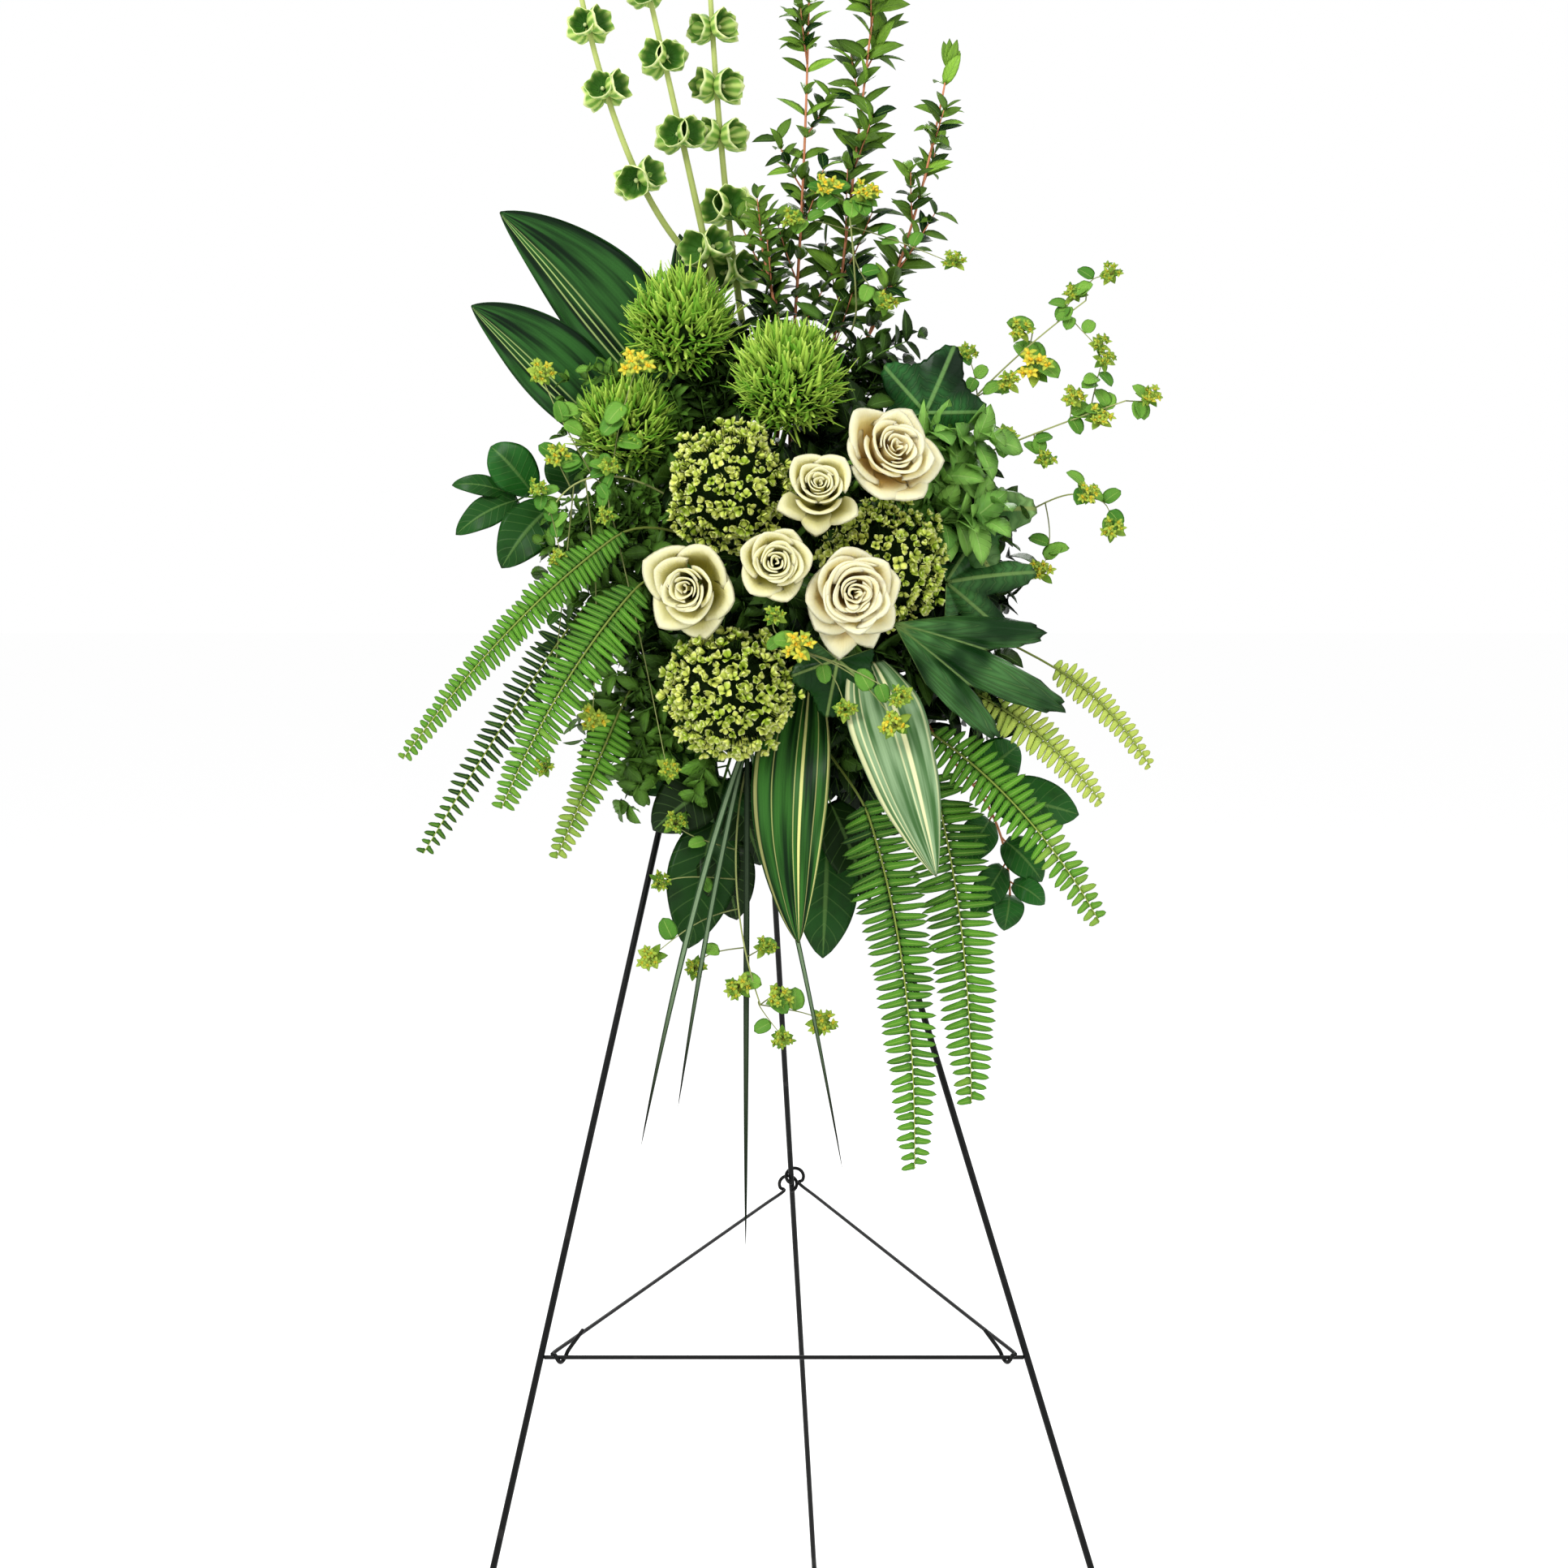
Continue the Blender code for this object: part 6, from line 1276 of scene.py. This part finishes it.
# Bupleurum: wiry branched stems with yellow-green star flowers round a cluster of tiny buds, and round
# leaves that the stem runs through.
FLOWER_SPRAYS = {
    # start, middle, end, flowers: place on the stem, spot and size, then the bow of the stem
    "bupleurum_right_upper": ((0.150, -0.150, 1.400), (0.200, -0.165, 1.450), (0.262, -0.175, 1.500), (
        (0.15, (0.155, -0.150, 1.455), 0.012), (0.10, (0.190, -0.190, 1.425), 0.014),
        (0.55, (0.215, -0.175, 1.440), 0.021), (0.60, (0.203, -0.165, 1.475), 0.014),
        (0.80, (0.252, -0.170, 1.508), 0.013), (1.00, (0.285, -0.175, 1.525), 0.013),
        (0.90, (0.275, -0.180, 1.460), 0.012)), (0, 0, 0)),
    "bupleurum_right_middle": ((0.175, -0.150, 1.362), (0.235, -0.170, 1.385), (0.300, -0.178, 1.408), (
        (0.15, (0.188, -0.185, 1.375), 0.014), (0.35, (0.225, -0.180, 1.355), 0.013),
        (0.60, (0.252, -0.175, 1.412), 0.014), (0.75, (0.280, -0.180, 1.447), 0.013),
        (0.85, (0.276, -0.182, 1.392), 0.015), (1.00, (0.322, -0.182, 1.412), 0.014)), (0, 0.012, 0)),
    "bupleurum_right_lower": ((0.205, -0.125, 1.300), (0.242, -0.165, 1.320), (0.262, -0.180, 1.318), (
        (0.30, (0.222, -0.180, 1.250), 0.015), (0.80, (0.264, -0.190, 1.322), 0.015),
        (1.00, (0.288, -0.190, 1.290), 0.014)), (0, 0, 0)),
    "bupleurum_top": ((0.050, -0.150, 1.500), (0.045, -0.165, 1.560), (0.040, -0.172, 1.590), (
        (0.35, (0.078, -0.165, 1.500), 0.014), (0.55, (-0.010, -0.172, 1.575), 0.013),
        (0.60, (0.140, -0.168, 1.538), 0.013), (0.90, (0.058, -0.175, 1.598), 0.017),
        (1.00, (0.022, -0.175, 1.602), 0.017)), (0, 0, 0.012)),
    "bupleurum_left": ((-0.165, -0.235, 1.335), (-0.205, -0.240, 1.330), (-0.232, -0.238, 1.300), (
        (0.10, (-0.150, -0.250, 1.436), 0.018), (0.30, (-0.238, -0.225, 1.430), 0.015),
        (0.10, (-0.175, -0.250, 1.345), 0.012), (0.30, (-0.178, -0.255, 1.300), 0.012),
        (0.60, (-0.222, -0.240, 1.355), 0.015), (1.00, (-0.240, -0.240, 1.325), 0.012),
        (0.95, (-0.222, -0.245, 1.262), 0.013), (0.40, (-0.190, -0.268, 1.118), 0.016),
        (0.55, (-0.236, -0.262, 1.074), 0.012), (0.20, (-0.122, -0.270, 1.072), 0.014)), (0, 0, 0)),
    "bupleurum_centre": ((-0.004, -0.280, 1.188), (-0.004, -0.305, 1.182), (-0.004, -0.322, 1.182), (
        (0.60, (-0.026, -0.325, 1.212), 0.012), (1.00, (-0.005, -0.335, 1.186), 0.018),
        (0.50, (0.036, -0.318, 1.130), 0.013), (0.80, (0.078, -0.338, 1.118), 0.016),
        (0.70, (0.084, -0.340, 1.142), 0.013)), (0, 0, 0)),
    "bupleurum_bottom": ((-0.060, -0.225, 1.030), (-0.060, -0.240, 0.940), (-0.040, -0.240, 0.850), (
        (0.20, (-0.118, -0.235, 1.020), 0.013), (0.35, (-0.132, -0.235, 0.965), 0.012),
        (0.50, (-0.142, -0.240, 0.895), 0.016), (0.70, (-0.100, -0.240, 0.885), 0.013),
        (0.75, (-0.035, -0.245, 0.905), 0.013), (0.85, (-0.060, -0.245, 0.868), 0.016),
        (1.00, (-0.022, -0.245, 0.858), 0.016), (1.00, (0.018, -0.245, 0.835), 0.016),
        (0.98, (-0.020, -0.245, 0.820), 0.013)), (0, 0, 0)),
}
STARS, BRACTS, BUDS = 6, 5, 4
WIRE_RADII, BRANCH_RADII, STAR_STALK = (0.0012, 0.0007), (0.0007, 0.0004), 0.0004

bract_finish = Finish("star_bract", Specular_IOR_Level=0.14)
along, tone = bract_finish.along(), bract_finish.tone()
bract = bract_finish.mix(bract_finish.step(tone, 0.0, 0.55), colour(76, 120, 32), colour(156, 180, 66))
bract = bract_finish.mix(bract_finish.step(tone, 0.55, 1.0), bract, colour(216, 200, 62))
bract = bract_finish.mix(bract_finish.step(along, 0.5, 0.0) * 0.45, bract, colour(196, 186, 48))
bract_finish.wear(Base_Color=bract, Roughness=0.5 + bract_finish.noise(120.0) * 0.15)
bud_finish = Finish("yellow_bud", Specular_IOR_Level=0.14)
bud_finish.wear(Base_Color=bud_finish.mix(bud_finish.tone(), colour(142, 160, 48), colour(226, 178, 38)),
                Roughness=0.55 + bud_finish.noise(300.0) * 0.1)
round_leaf = leaf_finish("round_leaf", colour(52, 108, 32), colour(122, 170, 66), colour(146, 180, 86),
                         0.02, 5.0)
wiry_stem = stem_finish("wiry_stem", colour(150, 158, 96), colour(96, 104, 56))


def heart_shaped(t):
    """Half-width share of a nearly round leaf with a small point."""
    return np.sqrt(np.clip(1 - (2 * t - 1) ** 2, 0, 1)) * (1 - 0.25 * t)


for seed, (spray_name, (start, middle, end, flowers, bow)) in enumerate(FLOWER_SPRAYS.items()):
    draw = np.random.default_rng(seed + 220)
    lower = stem_path(start, through(start, middle, end, 0)[1], bow)
    upper = through(start, middle, end, np.linspace(0, 1, 14))[0]
    wires = [(tapered(np.vstack([lower, upper[1:]]), WIRE_RADII, 7), 0.5)]
    bracts, buds, leafy = [], [], []
    for place, spot, size in flowers:
        root, spot = through(start, middle, end, place)[0], np.array(spot)
        facing = unit((draw.uniform(-0.4, 0.4), -1, draw.uniform(0.0, 0.7)))
        side, top = axes_of(facing)[1:]
        sag = np.array((draw.normal(0, 0.006), 0, draw.normal(0.004, 0.004)))
        t = np.linspace(0, 1, 10)[:, None]
        branch = root + (spot - facing * size * 0.45 - root) * t + sag * np.sin(math.pi * t)
        wires.append((tapered(branch, BRANCH_RADII, 6), 0.6))
        gold = float(np.clip((size - 0.0125) / 0.006, 0.0, 1.0)) * (0.45 if spot[2] < 1.05 else 1.0)
        turn = (np.arange(BRACTS) + draw.uniform(0, 1)) * 2 * math.pi / BRACTS
        outward = side * np.cos(turn)[:, None] + top * np.sin(turn)[:, None]
        way = outward + facing * 0.35 + draw.normal(0, 0.2, (BRACTS, 3))
        bracts.append((leaves(np.tile(branch[-1], (BRACTS, 1)), way, facing - outward * 0.3,
                              size * draw.uniform(0.75, 1.05, BRACTS), size * 0.52, oval, rows=6, columns=5,
                              curl=0.4, cup=0.4), draw.uniform(0.05, 0.45, BRACTS)))
        off = golden_spots(STARS, math.radians(75)) * size * (0.62, 0.62, 0.30)
        heads = spot + side * off[:, :1] + top * off[:, 1:2] + facing * off[:, 2:]
        heads = heads + draw.normal(0, size * 0.06, (STARS, 3))
        wires.append((rays(np.tile(branch[-1], (STARS, 1)), heads, STAR_STALK), 0.8))
        turn = (np.tile(np.arange(BRACTS), STARS) * 2 * math.pi / BRACTS
                + np.repeat(draw.uniform(0, 6.3, STARS), BRACTS))[:, None]
        outward = side * np.cos(turn) + top * np.sin(turn)
        way = outward + facing * 0.45 + np.repeat(draw.normal(0, 0.25, (STARS, 3)), BRACTS, axis=0)
        bracts.append((leaves(np.repeat(heads, BRACTS, axis=0), way, facing - outward * 0.4,
                              size * draw.uniform(0.34, 0.46, len(turn)), size * 0.24, oval, rows=5,
                              columns=3, curl=0.3, cup=0.4),
                       np.clip(0.25 + 0.6 * gold + draw.normal(0, 0.15, len(turn)), 0, 1)))
        beads = np.repeat(heads, BUDS, axis=0) + draw.normal(0, size * 0.06, (STARS * BUDS, 3))
        buds.append((balls(beads + facing * size * 0.10, size * 0.065), 0.15 + 0.85 * gold))
        for _ in range(1 if spot[2] < 1.25 else 3):
            at = branch[int(draw.integers(3, 8))]
            turn = draw.uniform(0, 6.3)
            way = side * math.cos(turn) + top * math.sin(turn) + facing * 0.3
            leaf = leaves([at], [way], [facing * 0.8 + (0, 0, 0.4)], size * 1.40, size * 1.22, heart_shaped,
                          rows=8, columns=7, curl=0.5, cup=0.3)
            leafy.append((leaf, draw.uniform(0.1, 0.9)))
    make(spray_name + "_stars", bracts, bract_finish, "star_flowers", spray_name)
    make(spray_name + "_buds", buds, bud_finish, "star_flowers")
    make(spray_name + "_round_leaves", leafy, round_leaf, "star_flowers")
    make(spray_name + "_wires", wires, wiry_stem, "star_flowers")


# Filler greenery: leafy sprigs pushed in all round the foam. Small-leaved ones make the lacy mass on the
# left; broad ones, nearly black as painted shade, close the gaps between the blooms and hide the cage and the
# stems.
FILLERS = (
    # group, middle of the clump, half its size each way, sprigs, leaf length and breadth, brightness: partly
    # the leaves' own green, partly painted light and shade
    ("left", (-0.165, -0.190, 1.395), (0.058, 0.025, 0.045), 34, 0.018, 0.46, 0.75),
    ("left", (-0.185, -0.195, 1.325), (0.065, 0.025, 0.055), 40, 0.019, 0.46, 0.65),
    ("left", (-0.175, -0.200, 1.215), (0.065, 0.025, 0.060), 34, 0.026, 0.46, 0.36),
    ("left", (-0.150, -0.200, 1.105), (0.060, 0.025, 0.050), 26, 0.024, 0.46, 0.45),
    ("left", (-0.130, -0.215, 1.062), (0.040, 0.015, 0.035), 14, 0.024, 0.6, 0.60),
    ("left", (-0.080, -0.160, 1.440), (0.060, 0.030, 0.040), 24, 0.024, 0.46, 0.30),
    ("left", (-0.050, -0.140, 1.490), (0.040, 0.015, 0.035), 14, 0.026, 0.46, 0.25),
    ("right", (-0.120, -0.195, 1.165), (0.035, 0.020, 0.050), 18, 0.034, 0.5, 0.10),
    ("right", (-0.030, -0.205, 1.290), (0.090, 0.030, 0.110), 30, 0.038, 0.5, 0.04),
    ("right", (0.035, -0.215, 1.290), (0.050, 0.020, 0.050), 18, 0.036, 0.5, 0.04),
    ("right", (-0.030, -0.215, 1.190), (0.080, 0.030, 0.060), 28, 0.038, 0.5, 0.04),
    ("right", (0.070, -0.165, 1.430), (0.070, 0.030, 0.060), 24, 0.026, 0.46, 0.24),
    ("light", (0.152, -0.215, 1.335), (0.036, 0.015, 0.048), 11, 0.038, 0.60, 0.60),
    ("right", (0.150, -0.165, 1.290), (0.045, 0.015, 0.070), 22, 0.034, 0.46, 0.20),
    ("right", (0.130, -0.180, 1.150), (0.060, 0.025, 0.060), 22, 0.036, 0.5, 0.08),
    ("right", (0.020, -0.190, 1.080), (0.060, 0.025, 0.045), 16, 0.036, 0.5, 0.06),
    ("right", (0.046, -0.190, 1.050), (0.022, 0.012, 0.028), 8, 0.036, 0.5, 0.06),
)
SPRIG_PAIRS, SPRIG_RADII = 7, (0.0013, 0.0006)

light_leaf = leaf_finish("light_filler_leaf", colour(42, 106, 38), colour(150, 202, 92),
                         colour(164, 202, 112), 0.06, 7.0)
# Its darkest green, near black, gives the dark clumps their painted shade between the blooms.
filler_leaf = leaf_finish("filler_leaf", colour(5, 22, 5), colour(106, 156, 56), colour(96, 134, 60),
                          0.04, 6.0)

draw = np.random.default_rng(300)
greenery, wood = {"left": [], "right": [], "light": []}, []
for group, middle, half, sprigs, length, breadth, tone_and_painted_light in FILLERS:
    for _ in range(sprigs):
        tip = np.array(middle) + draw.uniform(-1, 1, 3) * half
        off = tip - FOAM_CENTRE
        root = (FOAM_CENTRE + ACROSS * np.clip(off[0] * 0.5, -0.045, 0.045)
                + UP * np.clip((off @ UP) * 0.6, -0.095, 0.095) + OUT * FOAM_DEPTH * 0.3)
        t = np.linspace(0, 1, 14)[:, None]
        path = root + (tip - root) * t + (OUT * 0.015 + draw.normal(0, 0.008, 3)) * np.sin(math.pi * t)
        wood.append((tapered(path[::2], SPRIG_RADII, 5), 0.2))
        first = np.clip(1 - 0.075 / np.linalg.norm(tip - root), 0.25, 0.7)
        where = np.linspace(first * 13, 13, SPRIG_PAIRS).astype(int)
        skins = leaf_pairs(path[where], np.gradient(path, axis=0)[where], np.full(SPRIG_PAIRS, length), draw,
                           0.7, breadth, 3)
        # Sprigs whose tip lies further back are darker: painted shade deep in the bunch.
        tones = draw.normal(tone_and_painted_light, 0.12, 2 * SPRIG_PAIRS) - 0.1 * (tip[1] + 0.2) / 0.03
        greenery[group].append((skins, np.clip(tones, 0, 1)))
for group, finish in (("left", filler_leaf), ("right", filler_leaf), ("light", light_leaf)):
    make("filler_leaves_" + group, greenery[group], finish, "salal_leaf")
make("filler_twigs", wood, green_stem, "salal_leaf")
